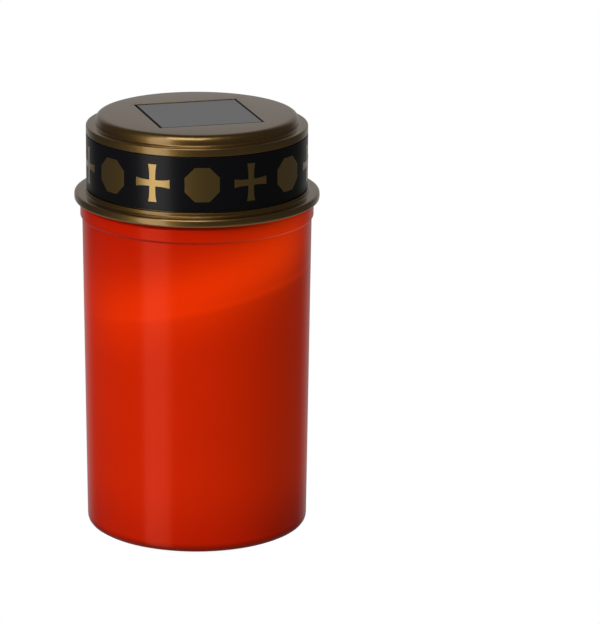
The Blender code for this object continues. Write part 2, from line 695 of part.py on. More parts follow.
def least_gap(points, radius, apart):
    """The least clear distance between stretches of a wire that lie this many points apart."""
    least = math.inf
    for first, point in enumerate(points):
        for other in points[first + apart:]:
            least = min(least, (point - other).length - 2 * radius)
    return least


def make_battery_spring(lid):
    """A conical spring that stands on the minus contact and narrows towards the battery."""
    count = SPRING_TURNS * SPRING_POINTS_PER_TURN
    radius = SPRING_WIRE / 2
    rise = SPRING_LENGTH - SPRING_WIRE
    points = []
    for step in range(count + 1):
        share = step / count
        angle = math.tau * SPRING_TURNS * share
        reach = SPRING_WIDE_RADIUS + (SPRING_NARROW_RADIUS - SPRING_WIDE_RADIUS) * share
        points.append(Vector((rise * share, reach * math.cos(angle), reach * math.sin(angle))))
    gap = least_gap(points, radius, SPRING_POINTS_PER_TURN // 2)
    print(f"battery_spring least gap to itself: {gap * 1000:.2f} mm")
    start = contact_x(-1) + CONTACT_THICKNESS / 2 + SEAT_GAP + radius
    tube("battery_spring", points, radius, 1, "bare_steel", lid, (start, BATTERY_OFFSET, BATTERY_Z))


def make_plate_screws(lid):
    head = PLATE_SCREW_HEAD_RADIUS
    outline = [
        (0.0, PLATE_SCREW_LENGTH),
        (PLATE_SCREW_RADIUS, PLATE_SCREW_LENGTH - PLATE_SCREW_RADIUS),
        (PLATE_SCREW_RADIUS, 0.0),
        (head, 0.0),
        (head, -PLATE_SCREW_HEAD_HEIGHT / 2),
        (head - PLATE_SCREW_HEAD_HEIGHT / 2, -PLATE_SCREW_HEAD_HEIGHT),
        (0.0, -PLATE_SCREW_HEAD_HEIGHT),
    ]
    for number, (x, y) in enumerate(boss_places(), start=1):
        shape = turned(outline, SMALL_STEPS)
        seat = plate_screw_seat() - SEAT_GAP
        piece(f"plate_screw_{number}", shape, "bare_steel", lid, (x, y, seat))


def make_board_screws(lid):
    head = BOARD_SCREW_HEAD_RADIUS
    outline = [
        (0.0, BOARD_SCREW_HEAD_HEIGHT),
        (head - BOARD_SCREW_HEAD_HEIGHT / 2, BOARD_SCREW_HEAD_HEIGHT),
        (head, BOARD_SCREW_HEAD_HEIGHT / 2),
        (head, 0.0),
        (BOARD_SCREW_RADIUS, 0.0),
        (BOARD_SCREW_RADIUS, BOARD_SCREW_RADIUS - BOARD_SCREW_LENGTH),
        (0.0, -BOARD_SCREW_LENGTH),
    ]
    for number, (x, y) in enumerate(board_screw_places(), start=1):
        shape = turned(outline, SMALL_STEPS)
        piece(f"board_screw_{number}", shape, "bare_steel", lid, (x, y, PART_ON_BOARD_Z))


def lead_places():
    return [(-LED_LEAD_SPACING / 2, LED_Y), (LED_LEAD_SPACING / 2, LED_Y)]


def make_circuit_board(lid):
    panel = bmesh.new()
    box(
        panel, (-BOARD_LENGTH / 2, BOARD_FAR_Y, BOARD_LOW_Z),
        (BOARD_LENGTH / 2, BOARD_NEAR_Y, BOARD_TOP_Z),
    )
    board = piece("circuit_board", panel, "green_board", lid)
    holes = bmesh.new()
    for place in board_screw_places():
        rod(holes, place, BOARD_SCREW_RADIUS + SEAT_GAP, BOARD_LOW_Z - CUT_MARGIN, BOARD_TOP_Z + CUT_MARGIN)
    for place in lead_places():
        rod(holes, place, LED_LEAD_SIDE / 2 + RUN_GAP, BOARD_LOW_Z - CUT_MARGIN, BOARD_TOP_Z + CUT_MARGIN)
    combine(board, "holes", holes, "DIFFERENCE")


def make_led(lid):
    """The lens points down; its leads go up through the board."""
    flange_low = -LED_FLANGE_HEIGHT
    dome_z = LED_RADIUS - LED_LENGTH
    outline = [
        (0.0, 0.0),
        (LED_FLANGE_RADIUS, 0.0),
        (LED_FLANGE_RADIUS, flange_low),
        (LED_RADIUS, flange_low),
        *arc((0.0, dome_z), LED_RADIUS, 0.0, -90.0)[:-1],
        (0.0, -LED_LENGTH),
    ]
    led = piece("led", turned(outline, SMALL_STEPS), "warm_lens", lid, (0.0, LED_Y, PART_UNDER_BOARD_Z))
    lead_top = BOARD_TOP_Z + LED_LEAD_STUB - PART_UNDER_BOARD_Z
    half = LED_LEAD_SIDE / 2
    leads = bmesh.new()
    for place in lead_places():
        box(leads, (place[0] - half, -half, flange_low / 2), (place[0] + half, half, lead_top))
    combine(led, "leads", leads, "UNION")


def make_inductor(lid):
    outline = [
        (0.0, INDUCTOR_HEIGHT),
        (INDUCTOR_RADIUS, INDUCTOR_HEIGHT),
        (INDUCTOR_RADIUS, INDUCTOR_HEIGHT - INDUCTOR_FLANGE),
        (INDUCTOR_COIL_RADIUS, INDUCTOR_HEIGHT - INDUCTOR_FLANGE),
        (INDUCTOR_COIL_RADIUS, INDUCTOR_FLANGE),
        (INDUCTOR_RADIUS, INDUCTOR_FLANGE),
        (INDUCTOR_RADIUS, 0.0),
        (0.0, 0.0),
    ]
    place = (INDUCTOR_X, BOARD_MIDDLE_Y, PART_ON_BOARD_Z)
    piece("inductor", turned(outline, SMALL_STEPS), "copper_coil", lid, place)


def make_driver_chip(lid):
    body = bmesh.new()
    box(body, (-CHIP_LENGTH / 2, -CHIP_WIDTH / 2, 0.0), (CHIP_LENGTH / 2, CHIP_WIDTH / 2, CHIP_HEIGHT))
    chip = piece("driver_chip", body, "black_plastic", lid, (CHIP_X, BOARD_MIDDLE_Y, PART_ON_BOARD_Z))
    legs = bmesh.new()
    reach = CHIP_WIDTH / 2 + CHIP_LEG_REACH
    half = CHIP_LEG_WIDTH / 2
    for leg in range(CHIP_LEG_COUNT):
        middle = (leg - (CHIP_LEG_COUNT - 1) / 2) * CHIP_LEG_PITCH
        box(legs, (middle - half, -reach, 0.0), (middle + half, reach, CHIP_LEG_THICKNESS))
    combine(chip, "legs", legs, "UNION")


def make_switch(lid):
    """A slide switch under the board, whose knob reaches out through the plate."""
    body = bmesh.new()
    height = PART_UNDER_BOARD_Z - SWITCH_LOW_Z
    box(body, (-SWITCH_LENGTH / 2, -SWITCH_WIDTH / 2, 0.0), (SWITCH_LENGTH / 2, SWITCH_WIDTH / 2, height))
    switch = piece("switch_body", body, "bare_steel", lid, (0.0, SWITCH_Y, SWITCH_LOW_Z))
    groove = bmesh.new()
    half_length = (KNOB_LENGTH + SWITCH_TRAVEL) / 2 + RUN_GAP
    half_width = KNOB_WIDTH / 2 + RUN_GAP
    box(groove, (-half_length, -half_width, -CUT_MARGIN), (half_length, half_width, SWITCH_GROOVE_DEPTH))
    combine(switch, "groove", groove, "DIFFERENCE")
    knob = bmesh.new()
    top = SWITCH_LOW_Z + SWITCH_GROOVE_DEPTH - SEAT_GAP - PLATE_LOW_Z
    box(knob, (-KNOB_LENGTH / 2, -KNOB_WIDTH / 2, -KNOB_REACH), (KNOB_LENGTH / 2, KNOB_WIDTH / 2, top))
    piece("switch_knob", knob, "white_plastic", lid, (KNOB_X, SWITCH_Y, PLATE_LOW_Z))


def smooth_route(route):
    """Points read from a smooth curve through the route's own points."""
    knots = [route[0]] + route + [route[-1]]
    points = []
    for index in range(1, len(knots) - 2):
        before, start, end, after = knots[index - 1:index + 3]
        leaving = (end - before) / 2
        arriving = (after - start) / 2
        for step in range(WIRE_STEPS):
            t = step / WIRE_STEPS
            along = start.lerp(end, t * t * (3 - 2 * t))
            points.append(along + leaving * (t * (1 - t) ** 2) - arriving * (t * t * (1 - t)))
    points.append(route[-1])
    return points


def make_wires(lid):
    """Two wires from the cell and two from the battery contacts, each to its pad on the board."""
    pad_z = PART_ON_BOARD_Z
    slot_low, slot_high = wire_slot()
    slot_y = (slot_low[1] + slot_high[1]) / 2
    for name, kind, side in (("cell_wire_red", "red_wire", 1), ("cell_wire_black", "black_wire", -1)):
        top = Vector((side * CELL_WIRE_X, slot_y, PAD_TOP_Z))
        below = Vector((side * CELL_WIRE_X, slot_y, TRAY_LOW_Z))
        above_pad = Vector((side * CELL_WIRE_PAD_X, CELL_WIRE_PAD_Y, (pad_z + TRAY_LOW_Z) / 2))
        pad = Vector((side * CELL_WIRE_PAD_X, CELL_WIRE_PAD_Y, pad_z))
        tube(name, smooth_route([top, below, above_pad, pad]), WIRE_RADIUS, 2, kind, lid)
    start_y = BATTERY_OFFSET - CONTACT_WIDTH / 2 - SEAT_GAP
    loop_z = pad_z + BATTERY_WIRE_LOOP
    for name, kind, side in (("battery_wire_red", "red_wire", 1), ("battery_wire_black", "black_wire", -1)):
        turn_x = side * (BOARD_LENGTH / 2 + BATTERY_WIRE_LOOP)
        pad_x = side * BATTERY_WIRE_PAD_X
        start = Vector((contact_x(side), start_y, BATTERY_Z))
        leaving = Vector((contact_x(side), BAY_NEAR_SIDE - WIRE_RADIUS, BATTERY_Z))
        outside = Vector((contact_x(side), BAY_NEAR_SIDE - BATTERY_WIRE_LOOP, BATTERY_Z))
        turn = Vector((turn_x, BATTERY_WIRE_PAD_Y, loop_z))
        above_pad = Vector((pad_x, BATTERY_WIRE_PAD_Y, loop_z))
        pad = Vector((pad_x, BATTERY_WIRE_PAD_Y, pad_z))
        tube(name, smooth_route([start, leaving, outside, turn, above_pad, pad]), WIRE_RADIUS, 2, kind, lid)


def main():
    clear_scene()
    make_spike()
    candle = carrier("candle_on_spike")
    make_cup(candle)
    lid = carrier("lid_on_cup", candle)
    make_lid_shell(lid)
    make_band(lid)
    make_solar_cell(lid)
    make_module_base(lid)
    make_plate_screws(lid)
    make_battery_door(lid)
    make_battery(lid)
    make_contacts(lid)
    make_battery_spring(lid)
    make_circuit_board(lid)
    make_board_screws(lid)
    make_led(lid)
    make_inductor(lid)
    make_driver_chip(lid)
    make_switch(lid)
    make_wires(lid)


main()
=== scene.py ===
"""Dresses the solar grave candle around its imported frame: the finish of every piece, and a plain studio."""

import math

import bmesh
import bpy
from bpy.props import FloatProperty, FloatVectorProperty, IntProperty, PointerProperty
from mathutils import Matrix, Vector


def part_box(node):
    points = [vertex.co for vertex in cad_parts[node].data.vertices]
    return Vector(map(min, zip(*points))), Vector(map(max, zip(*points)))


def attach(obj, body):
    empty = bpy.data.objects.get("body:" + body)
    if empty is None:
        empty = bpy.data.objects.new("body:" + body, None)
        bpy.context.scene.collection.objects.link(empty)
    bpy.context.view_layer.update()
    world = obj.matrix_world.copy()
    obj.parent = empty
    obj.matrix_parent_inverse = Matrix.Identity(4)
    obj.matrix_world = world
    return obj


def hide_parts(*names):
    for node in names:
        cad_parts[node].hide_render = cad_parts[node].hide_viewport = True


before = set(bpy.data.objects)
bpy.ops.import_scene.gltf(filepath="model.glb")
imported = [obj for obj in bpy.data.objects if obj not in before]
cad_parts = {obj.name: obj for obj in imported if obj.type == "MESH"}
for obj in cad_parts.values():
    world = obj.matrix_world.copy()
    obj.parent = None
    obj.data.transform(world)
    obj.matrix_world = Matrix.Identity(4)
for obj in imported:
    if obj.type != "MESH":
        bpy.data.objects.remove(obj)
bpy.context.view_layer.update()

bl_info = {
    "name": "Solar Grave Candle",
    "version": (1, 0, 0),
    "blender": (4, 5, 0),
    "location": "3D View > Sidebar > Candle",
    "description": "Builds the dressed pieces of a solar grave candle and a studio to see it in",
    "category": "Add Mesh",
}

# Facets
TURN_STEPS = 192
SMALL_TURN_STEPS = 48
CORNER_STEPS = 6
SHARP_ANGLE = math.radians(35.0)
WELD = 1e-6
FLAT_ANGLE = math.radians(1.0)

# Places taken from the frame
LID_LOW, LID_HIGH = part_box("lid_shell")
BAND_LOW, BAND_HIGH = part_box("printed_band")
CELL_SHIFT = Vector((0.0003, -0.0006, 0.0))
CELL_LOW, CELL_HIGH = [corner + CELL_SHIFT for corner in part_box("solar_cell")]
PLATE_LOW, PLATE_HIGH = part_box("module_base")
CUP_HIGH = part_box("cup")[1]
BOARD_LOW, BOARD_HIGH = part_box("circuit_board")

# Lid
SEAT_GAP = 0.0003
LID_WALL = 0.0015
LID_TOP_WALL = 0.002
CROWN_STEP = 0.0029
CROWN_HEIGHT = 0.0032
CROWN_ROUND = 0.0023
CROWN_FILLET = 0.0005
RING_ROUND = 0.0005
RING_EDGE_ROUND = 0.00012
SKIRT_PROUD = 0.0004
SKIRT_ROUND = 0.00015
FLANGE_FILLET = 0.0003
BEAD_HEIGHT = 0.0026
BEAD_ROUND = 0.0009
BEAD_SKIN = 0.0015
FINE_ROUND = 0.00025
TRAY_WALL = 0.0016
TRAY_FLOOR = 0.0012
POCKET_LIP = 0.00015
POCKET_FLARE = 1.005
PLATE_THICKNESS = 0.002
BOSS_RADIUS = 0.0028
BOSS_BORE = 0.0013
WIRE_ROOM = 0.0004

# Band
BAND_THICKNESS = 0.0005
BAND_EDGE = 0.0001
FOIL_CUTS = 8
FLARE_STEPS = 6
FOIL_SHARP_ANGLE = math.radians(12.0)

# Cup
CUP_WALL = 0.0012
COLLAR_HEIGHT = 0.0046
COLLAR_PROUD = 0.0006
COLLAR_ROUND = 0.0007
COLLAR_CHAMFER = 0.0011
CHAMFER_ROUND = 0.0005
CREASE_HEIGHT = 0.0006
CREASE_ROUND = 0.0004
CUP_DRAFT = 0.00095
FOOT_ROUND = 0.0022
FOOT_RING_WIDTH = 0.0025
FOOT_RECESS = 0.0015
SOCKET_RADIUS = 0.0063
SOCKET_DEPTH = 0.013
NECK_ROUND = 0.0005

# Rounded edges
SPIKE_EDGE = 0.0003
MOULDED_EDGE = 0.0002
SHEET_EDGE = 0.0001
BOARD_EDGE = 0.00008
CELL_EDGE = 0.00012
PAD_EDGE = 0.00015
LEAD_EDGE = 0.00006

# Screws
PLATE_SCREW_HEAD = 0.0009
BOARD_SCREW_HEAD = 0.0011
THREAD_PITCH = 0.0006
HEAD_TO_SHANK = 2.1
HEAD_TO_RECESS = 3.6
RECESS_SHARE = 0.6
HEAD_FACE_SHARE = 0.8
THREAD_ROOT_SHARE = 0.78
TIP_SHARE = 0.4

# Wire routes from the lid's electrics, on the +X side
CELL_WIRE_ROUTE = (
    (0.0015, -0.013, 0.12895),
    (0.0015, -0.013, 0.12695),
    (0.003, -0.01665, 0.1234),
    (0.003, -0.01665, 0.1199),
)
BATTERY_WIRE_ROUTE = (
    (0.02495, 0.0027, 0.11925),
    (0.02495, -0.00035, 0.11925),
    (0.02495, -0.00235, 0.11925),
    (0.0175, -0.00455, 0.1224),
    (0.0113, -0.00455, 0.1224),
    (0.0113, -0.00455, 0.1199),
)
WIRE_RADIUS = 0.0005
WIRE_STEPS = 12

# Studio
WHITE = (1.0, 1.0, 1.0)


class CupLook(bpy.types.PropertyGroup):
    """The red cup and the painted glow that stands for the light showing through it."""

    colour: FloatVectorProperty(
        name="Colour", description="Red of the plastic", subtype="COLOR", default=(0.6, 0.012, 0.0004),
    )
    glow_colour: FloatVectorProperty(
        name="Glow colour", description="Colour of the light that comes through the plastic",
        subtype="COLOR", default=(1.0, 0.055, 0.0),
    )
    glow: FloatProperty(
        name="Glow", description="How strongly the light inside shows through", default=1.0, min=0.0,
    )
    glow_turn: FloatProperty(
        name="Glow turn", description="Azimuth of the lit side, from the front to the right",
        subtype="ANGLE", default=math.radians(-15.0),
    )
    glow_height: FloatProperty(
        name="Glow height", description="Height of the pool of light", unit="LENGTH", default=0.0838,
    )
    glow_spread: FloatProperty(
        name="Glow spread", description="How far the pool reaches up and down", unit="LENGTH",
        default=0.0115,
    )
    streak_height: FloatProperty(
        name="Streak height", description="Height of the streak that cuts the pool off", unit="LENGTH",
        default=0.0772,
    )
    roughness: FloatProperty(
        name="Roughness", description="Roughness of the moulded gloss", subtype="FACTOR", default=0.2,
    )


class LidLook(bpy.types.PropertyGroup):
    """The lid's old-gold lacquer, its printed band and its solar cell."""

    gold: FloatVectorProperty(
        name="Gold", description="Colour of the metallic lacquer", subtype="COLOR",
        default=(0.33, 0.19, 0.048),
    )
    foil: FloatVectorProperty(
        name="Foil", description="Colour of the band's motifs", subtype="COLOR", default=(0.48, 0.3, 0.08),
    )
    print_colour: FloatVectorProperty(
        name="Print", description="Black of the printed band", subtype="COLOR",
        default=(0.004, 0.004, 0.005),
    )
    cell_colour: FloatVectorProperty(
        name="Cell", description="Colour of the solar film", subtype="COLOR", default=(0.115, 0.108, 0.113),
    )
    motif_count: IntProperty(
        name="Motifs", description="Octagons and crosses round the band, in turn", default=14, min=2,
    )
    motif_turn: FloatProperty(
        name="Motif turn", description="Azimuth of the first octagon, from the front to the right",
        subtype="ANGLE", default=math.radians(-12.4),
    )
    octagon_size: FloatProperty(
        name="Octagon size", description="Width across flats", unit="LENGTH", default=0.0105,
    )
    cross_width: FloatProperty(
        name="Cross width", description="Tip to tip round the band", unit="LENGTH", default=0.0109,
    )
    cross_height: FloatProperty(
        name="Cross height", description="Tip to tip up the band", unit="LENGTH", default=0.0115,
    )
    arm_width: FloatProperty(
        name="Arm width", description="Width of a cross's arm at the middle", unit="LENGTH", default=0.0019,
    )
    arm_flare: FloatProperty(
        name="Arm flare", description="Width of a cross's arm at its end", unit="LENGTH", default=0.0027,
    )
    foil_thickness: FloatProperty(
        name="Foil thickness", description="How far a motif stands proud", unit="LENGTH", default=0.00006,
    )


class StudioSetup(bpy.types.PropertyGroup):
    """The camera, the floor and the lights."""

    azimuth: FloatProperty(
        name="Azimuth", description="Where the camera stands round the candle", subtype="ANGLE",
        default=math.radians(-15.0),
    )
    distance: FloatProperty(
        name="Distance", description="Level distance of the camera", unit="LENGTH", default=1.0631,
    )
    height: FloatProperty(
        name="Height", description="Height of the camera", unit="LENGTH", default=0.377,
    )
    pan: FloatProperty(
        name="Pan", description="Turn of the camera to the right", subtype="ANGLE",
        default=math.radians(1.7213),
    )
    pitch: FloatProperty(
        name="Pitch", description="Turn of the camera downwards", subtype="ANGLE",
        default=math.radians(16.2476),
    )
    roll: FloatProperty(
        name="Roll", description="Turn of the camera about its own axis", subtype="ANGLE",
        default=math.radians(0.4823),
    )
    lens: FloatProperty(name="Lens", description="Focal length in millimetres", default=205.806)
    floor_length: FloatProperty(
        name="Floor length", description="Long axis of the oval floor", unit="LENGTH", default=0.4,
    )
    floor_width: FloatProperty(
        name="Floor width", description="Short axis of the oval floor", unit="LENGTH", default=0.056,
    )
    floor_turn: FloatProperty(
        name="Floor turn", description="Azimuth of the floor's long axis", subtype="ANGLE",
        default=math.radians(-20.0),
    )
    fill: FloatProperty(name="Fill", description="Level of the even light", default=0.1)
    backdrop: FloatProperty(
        name="Backdrop", description="Level of the white behind the candle in reflections", default=0.33,
    )
    room: FloatProperty(
        name="Room", description="Level of the room in front of the candle in reflections", default=0.06,
    )


class CandleSettings(bpy.types.PropertyGroup):
    """All that a user would change."""

    cup: PointerProperty(type=CupLook)
    lid: PointerProperty(type=LidLook)
    studio: PointerProperty(type=StudioSetup)


class Shade:
    """A shader value that takes part in Python arithmetic by adding Math nodes."""

    def __init__(self, nodes, socket):
        self.nodes = nodes
        self.socket = socket

    def math(self, operation, *values):
        return self.nodes.add("ShaderNodeMath", {"operation": operation}, dict(enumerate(values)))

    def __add__(self, other):
        return self.math("ADD", self, other)

    def __radd__(self, other):
        return self.math("ADD", other, self)

    def __sub__(self, other):
        return self.math("SUBTRACT", self, other)

    def __rsub__(self, other):
        return self.math("SUBTRACT", other, self)

    def __mul__(self, other):
        return self.math("MULTIPLY", self, other)

    def __rmul__(self, other):
        return self.math("MULTIPLY", other, self)

    def __truediv__(self, other):
        return self.math("DIVIDE", self, other)

    def __rtruediv__(self, other):
        return self.math("DIVIDE", other, self)

    def __abs__(self):
        return self.math("ABSOLUTE", self)

    def least(self, other):
        return self.math("MINIMUM", self, other)

    def most(self, other):
        return self.math("MAXIMUM", self, other)

    def off_whole(self):
        """How far the value is from the nearest whole number."""
        return abs(self - self.math("ROUND", self))

    def bell(self, width):
        """1 where the value is 0, and falling off smoothly over this width."""
        share = self / width
        return self.math("EXPONENT", share * share * -1.0)

    def rise(self, low, high):
        """A smooth step from 0 at low to 1 at high."""
        settings = {"interpolation_type": "SMOOTHSTEP"}
        return self.nodes.add(
            "ShaderNodeMapRange", settings, {"Value": self, "From Min": low, "From Max": high},
        )


class Nodes:
    """The node tree of a material or of the world."""

    def __init__(self, owner):
        owner.use_nodes = True
        self.tree = owner.node_tree

    def add(self, kind, settings=None, sockets=None, outputs=0):
        """Add a node with its settings, then its sockets' values or links, and hand back its outputs."""
        node = self.tree.nodes.new(kind)
        for name, value in (settings or {}).items():
            setattr(node, name, value)
        for name, value in (sockets or {}).items():
            self.feed(self.pick(node.inputs, name), value)
        if isinstance(outputs, tuple):
            return [Shade(self, self.pick(node.outputs, name)) for name in outputs]
        return Shade(self, self.pick(node.outputs, outputs))

    def pick(self, sockets, name):
        """A socket by its number, its identifier or its name."""
        if isinstance(name, int):
            return sockets[name]
        return next(socket for socket in sockets if name in (socket.identifier, socket.name))

    def feed(self, socket, value):
        """Link a shader value to a socket, or set a plain one on it."""
        if isinstance(value, Shade):
            self.tree.links.new(value.socket, socket)
        elif socket.type == "RGBA":
            socket.default_value = (*tuple(value)[:3], 1.0)
        else:
            socket.default_value = value

    def place(self):
        """The object's own coordinates, in metres."""
        return self.add("ShaderNodeTexCoord", outputs="Object")

    def split(self, vector):
        return self.add("ShaderNodeSeparateXYZ", None, {"Vector": vector}, ("X", "Y", "Z"))

    def noise(self, vector, scale):
        return self.add("ShaderNodeTexNoise", None, {"Vector": vector, "Scale": scale}, "Fac")

    def mix(self, share, first, second):
        settings = {"data_type": "RGBA"}
        sockets = {"Factor_Float": share, "A_Color": first, "B_Color": second}
        return self.add("ShaderNodeMix", settings, sockets, "Result_Color")

    def vary(self, colour, share, spread):
        """A colour from darker to lighter by this spread, as the share goes from 0 to 1."""
        return self.mix(share, shaded(colour, 1.0 - spread), shaded(colour, 1.0 + spread))

    def bump(self, height, distance):
        return self.add("ShaderNodeBump", None, {"Distance": distance, "Height": height}, "Normal")


def finish(name, paint, **constants):
    """A material whose paint function feeds what varies from place to place."""
    label = f"{name}_finish"
    material = bpy.data.materials.get(label)
    if material:
        return material
    material = bpy.data.materials.new(label)
    nodes = Nodes(material)
    shader = nodes.tree.nodes["Principled BSDF"]
    for socket, value in {**constants, **paint(nodes, nodes.place())}.items():
        nodes.feed(shader.inputs[socket.replace("_", " ")], value)
    return material


def shaded(colour, share):
    """A colour made darker or lighter by one share."""
    return tuple(channel * share for channel in colour)


def red_plastic_painted_glow(look):
    """Translucent gloss red with a painted glow, a leaning pool of the inner lamp's light painted as
    emission, and painted shade darkening its foot.
    """
    front = Vector((math.sin(look.glow_turn), -math.cos(look.glow_turn)))
    right = Vector((math.cos(look.glow_turn), math.sin(look.glow_turn)))
    pool_lean = 0.38
    streak_lean = 0.21
    line_width = 0.001
    more_to_right = 17.0
    pool_light = 0.23
    edge_light = 0.07
    line_light = 0.045
    wall_light = 0.12
    least_light = 0.012
    painted_foot_shade = 0.4

    def paint(nodes, place):
        x, y, z = nodes.split(place)
        ahead = (x * front.x + y * front.y) / CUP_HIGH.x
        aside = x * right.x + y * right.y
        # Painted glow: the emission paints the lamp's light on the wall as a pool with a bright edge and
        # streak, plus a weaker glow over the lower wall that fades out towards the top and the foot, all
        # stronger towards the front and the right.
        pool = (z - aside * pool_lean - look.glow_height).bell(look.glow_spread)
        streak = z - aside * streak_lean - look.streak_height
        edge = streak.rise(-0.0022, 0.0012) * pool
        line = streak.bell(line_width)
        painted_wall_glow = z.rise(0.1, 0.072) * z.rise(-0.004, 0.024) * wall_light + least_light
        painted_glow_lean = ahead.rise(0.0, 0.8) * (aside * more_to_right + 1.0)
        light = painted_glow_lean * (pool * pool_light + edge * edge_light + line * line_light) + painted_wall_glow
        cloud = nodes.noise(place, 60.0)
        flow = nodes.noise(place, 900.0)
        red = nodes.vary(look.colour, cloud, 0.06)
        return {
            # Painted shade: the base colour is darker over the foot's rounding, where less light reaches.
            "Base_Color": nodes.mix(z.rise(0.001, 0.0034), shaded(look.colour, painted_foot_shade), red),
            "Roughness": flow * 0.04 + (look.roughness - 0.02),
            # Painted glow: emission that stands in for the lamp's light coming through the plastic.
            "Emission_Color": nodes.mix(light * look.glow, (0.0, 0.0, 0.0), look.glow_colour),
        }

    return finish("red_plastic_painted_glow", paint, Emission_Strength=1.0, IOR=1.49, Specular_Tint=(1.0, 0.27, 0.14))


def gold_lacquer(look):
    """Old-gold metallic lacquer with fine flakes under a clear coat."""

    def paint(nodes, place):
        flakes = nodes.noise(place, 9000.0)
        cloud = nodes.noise(place, 120.0)
        return {
            "Base_Color": nodes.vary(look.gold, cloud, 0.08),
            "Roughness": flakes * 0.06 + 0.33,
            "Normal": nodes.bump(flakes, 0.000004),
        }

    return finish("gold_lacquer", paint, Metallic=1.0, Coat_Weight=1.0, Coat_Roughness=0.13)


def grained(name, colour, spread, scale, roughness, **constants):
    """A sheet whose fine grain shows in its colour, its gloss and its surface."""
    grain_depth = 0.000003

    def paint(nodes, place):
        grain = nodes.noise(place, scale)
        return {
            "Base_Color": nodes.vary(colour, grain, spread),
            "Roughness": grain * (roughness[1] - roughness[0]) + roughness[0],
            "Normal": nodes.bump(grain, grain_depth),
        }

    return finish(name, paint, **constants)


def black_print(look):
    """Black gloss print on the band."""
    return grained("black_print", look.print_colour, 0.2, 2500.0, (0.25, 0.31), Specular_IOR_Level=0.25)


def gold_foil(look):
    """Stamped gold foil under a clear coat."""
    coat = {"Coat_Weight": 1.0, "Coat_Roughness": 0.2}
    return grained("gold_foil", look.foil, 0.1, 3500.0, (0.27, 0.35), Metallic=1.0, **coat)


def solar_film(look):
    """Dark film under a laminate, with fine cell lines and a black border, wider at left and in front by a
    painted shadow of the gap round the cell.
    """
    middle = (CELL_LOW.y + CELL_HIGH.y) / 2
    line_pitch = 0.004
    border = 0.0003
    painted_gap_shadow = 0.0004

    def paint(nodes, place):
        x, y, _ = nodes.split(place)
        # Painted shadow: the border is widened at left and in front, where the gap round the cell would be in
        # shade.
        across = (x - CELL_LOW.x - painted_gap_shadow).least(CELL_HIGH.x - x)
        along = (y - CELL_LOW.y - painted_gap_shadow).least(CELL_HIGH.y - y)
        inside = across.least(along).rise(border * 0.8, border)
        line = ((y - middle) / line_pitch).off_whole().rise(0.03, 0.015) * inside
        cloud = nodes.noise(place, 150.0)
        film = nodes.vary(look.cell_colour, cloud, 0.08)
        lined = nodes.mix(line * 0.12, film, shaded(look.cell_colour, 2.2))
        return {
            "Base_Color": nodes.mix(inside, shaded(look.cell_colour, 0.04), lined),
            "Roughness": 0.9 - inside * (0.7 - cloud * 0.05),
        }

    return finish("solar_film", paint)


def plain_plastic(name, colour, roughness, grain_size=0.0004, grain_depth=0.000012):
    """Moulded plastic with a fine sparked grain."""

    def paint(nodes, place):
        grain = nodes.noise(place, 1.0 / grain_size)
        cloud = nodes.noise(place, 90.0)
        return {
            "Base_Color": nodes.vary(colour, cloud, 0.15),
            "Roughness": grain * 0.12 + (roughness - 0.06),
            "Normal": nodes.bump(grain, grain_depth),
        }

    return finish(name, paint)


def black_plastic():
    return plain_plastic("black_plastic", (0.012, 0.012, 0.013), 0.42)


def metal(name, colour, roughness):
    """Plated or drawn metal with fine brushing along X."""

    def paint(nodes, place):
        brushed = nodes.add("ShaderNodeMapping", None, {"Vector": place, "Scale": (400.0, 6000.0, 6000.0)})
        brush = nodes.noise(brushed, 1.0)
        cloud = nodes.noise(place, 300.0)
        return {
            "Base_Color": nodes.mix(cloud, shaded(colour, 0.88), shaded(colour, 1.08)),
            "Roughness": brush * 0.15 + (roughness - 0.07),
        }

    return finish(name, paint, Metallic=1.0)


def plated_steel():
    return metal("plated_steel", (0.58, 0.57, 0.54), 0.3)


def green_board():
    """Solder mask with faint tracks under it, and bare glass fibre along the cut ends."""
    track_pitch = 0.0016

    def paint(nodes, place):
        x, y, _ = nodes.split(place)
        laid = nodes.noise(place, 220.0).rise(0.45, 0.55)
        track = (y / track_pitch).off_whole().rise(0.3, 0.22) * laid
        mask = nodes.mix(track * 0.6, (0.012, 0.12, 0.04), (0.03, 0.22, 0.07))
        edge = abs(x).rise(BOARD_HIGH.x - 0.0002, BOARD_HIGH.x - 0.00005)
        return {
            "Base_Color": nodes.mix(edge, mask, (0.35, 0.33, 0.16)),
            "Roughness": nodes.noise(place, 700.0) * 0.1 + 0.3,
            "Normal": nodes.bump(track, 0.00003),
        }

    return finish("green_board", paint)


def chip_finish():
    """Black moulding in the middle, tinned legs along both sides."""
    chip_low, chip_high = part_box("driver_chip")
    middle_y = (chip_low.y + chip_high.y) / 2
    leg_length = 0.00095
    body_half = (chip_high.y - chip_low.y) / 2 - leg_length

    def paint(nodes, place):
        _, y, _ = nodes.split(place)
        leg = abs(y - middle_y).rise(body_half, body_half + 0.00005)
        grain = nodes.noise(place, 3000.0)
        return {
            "Base_Color": nodes.mix(leg, (0.02, 0.02, 0.022), (0.6, 0.6, 0.58)),
            "Roughness": grain * 0.1 + 0.4 - leg * 0.15,
            "Metallic": leg,
        }

    return finish("driver_chip", paint)


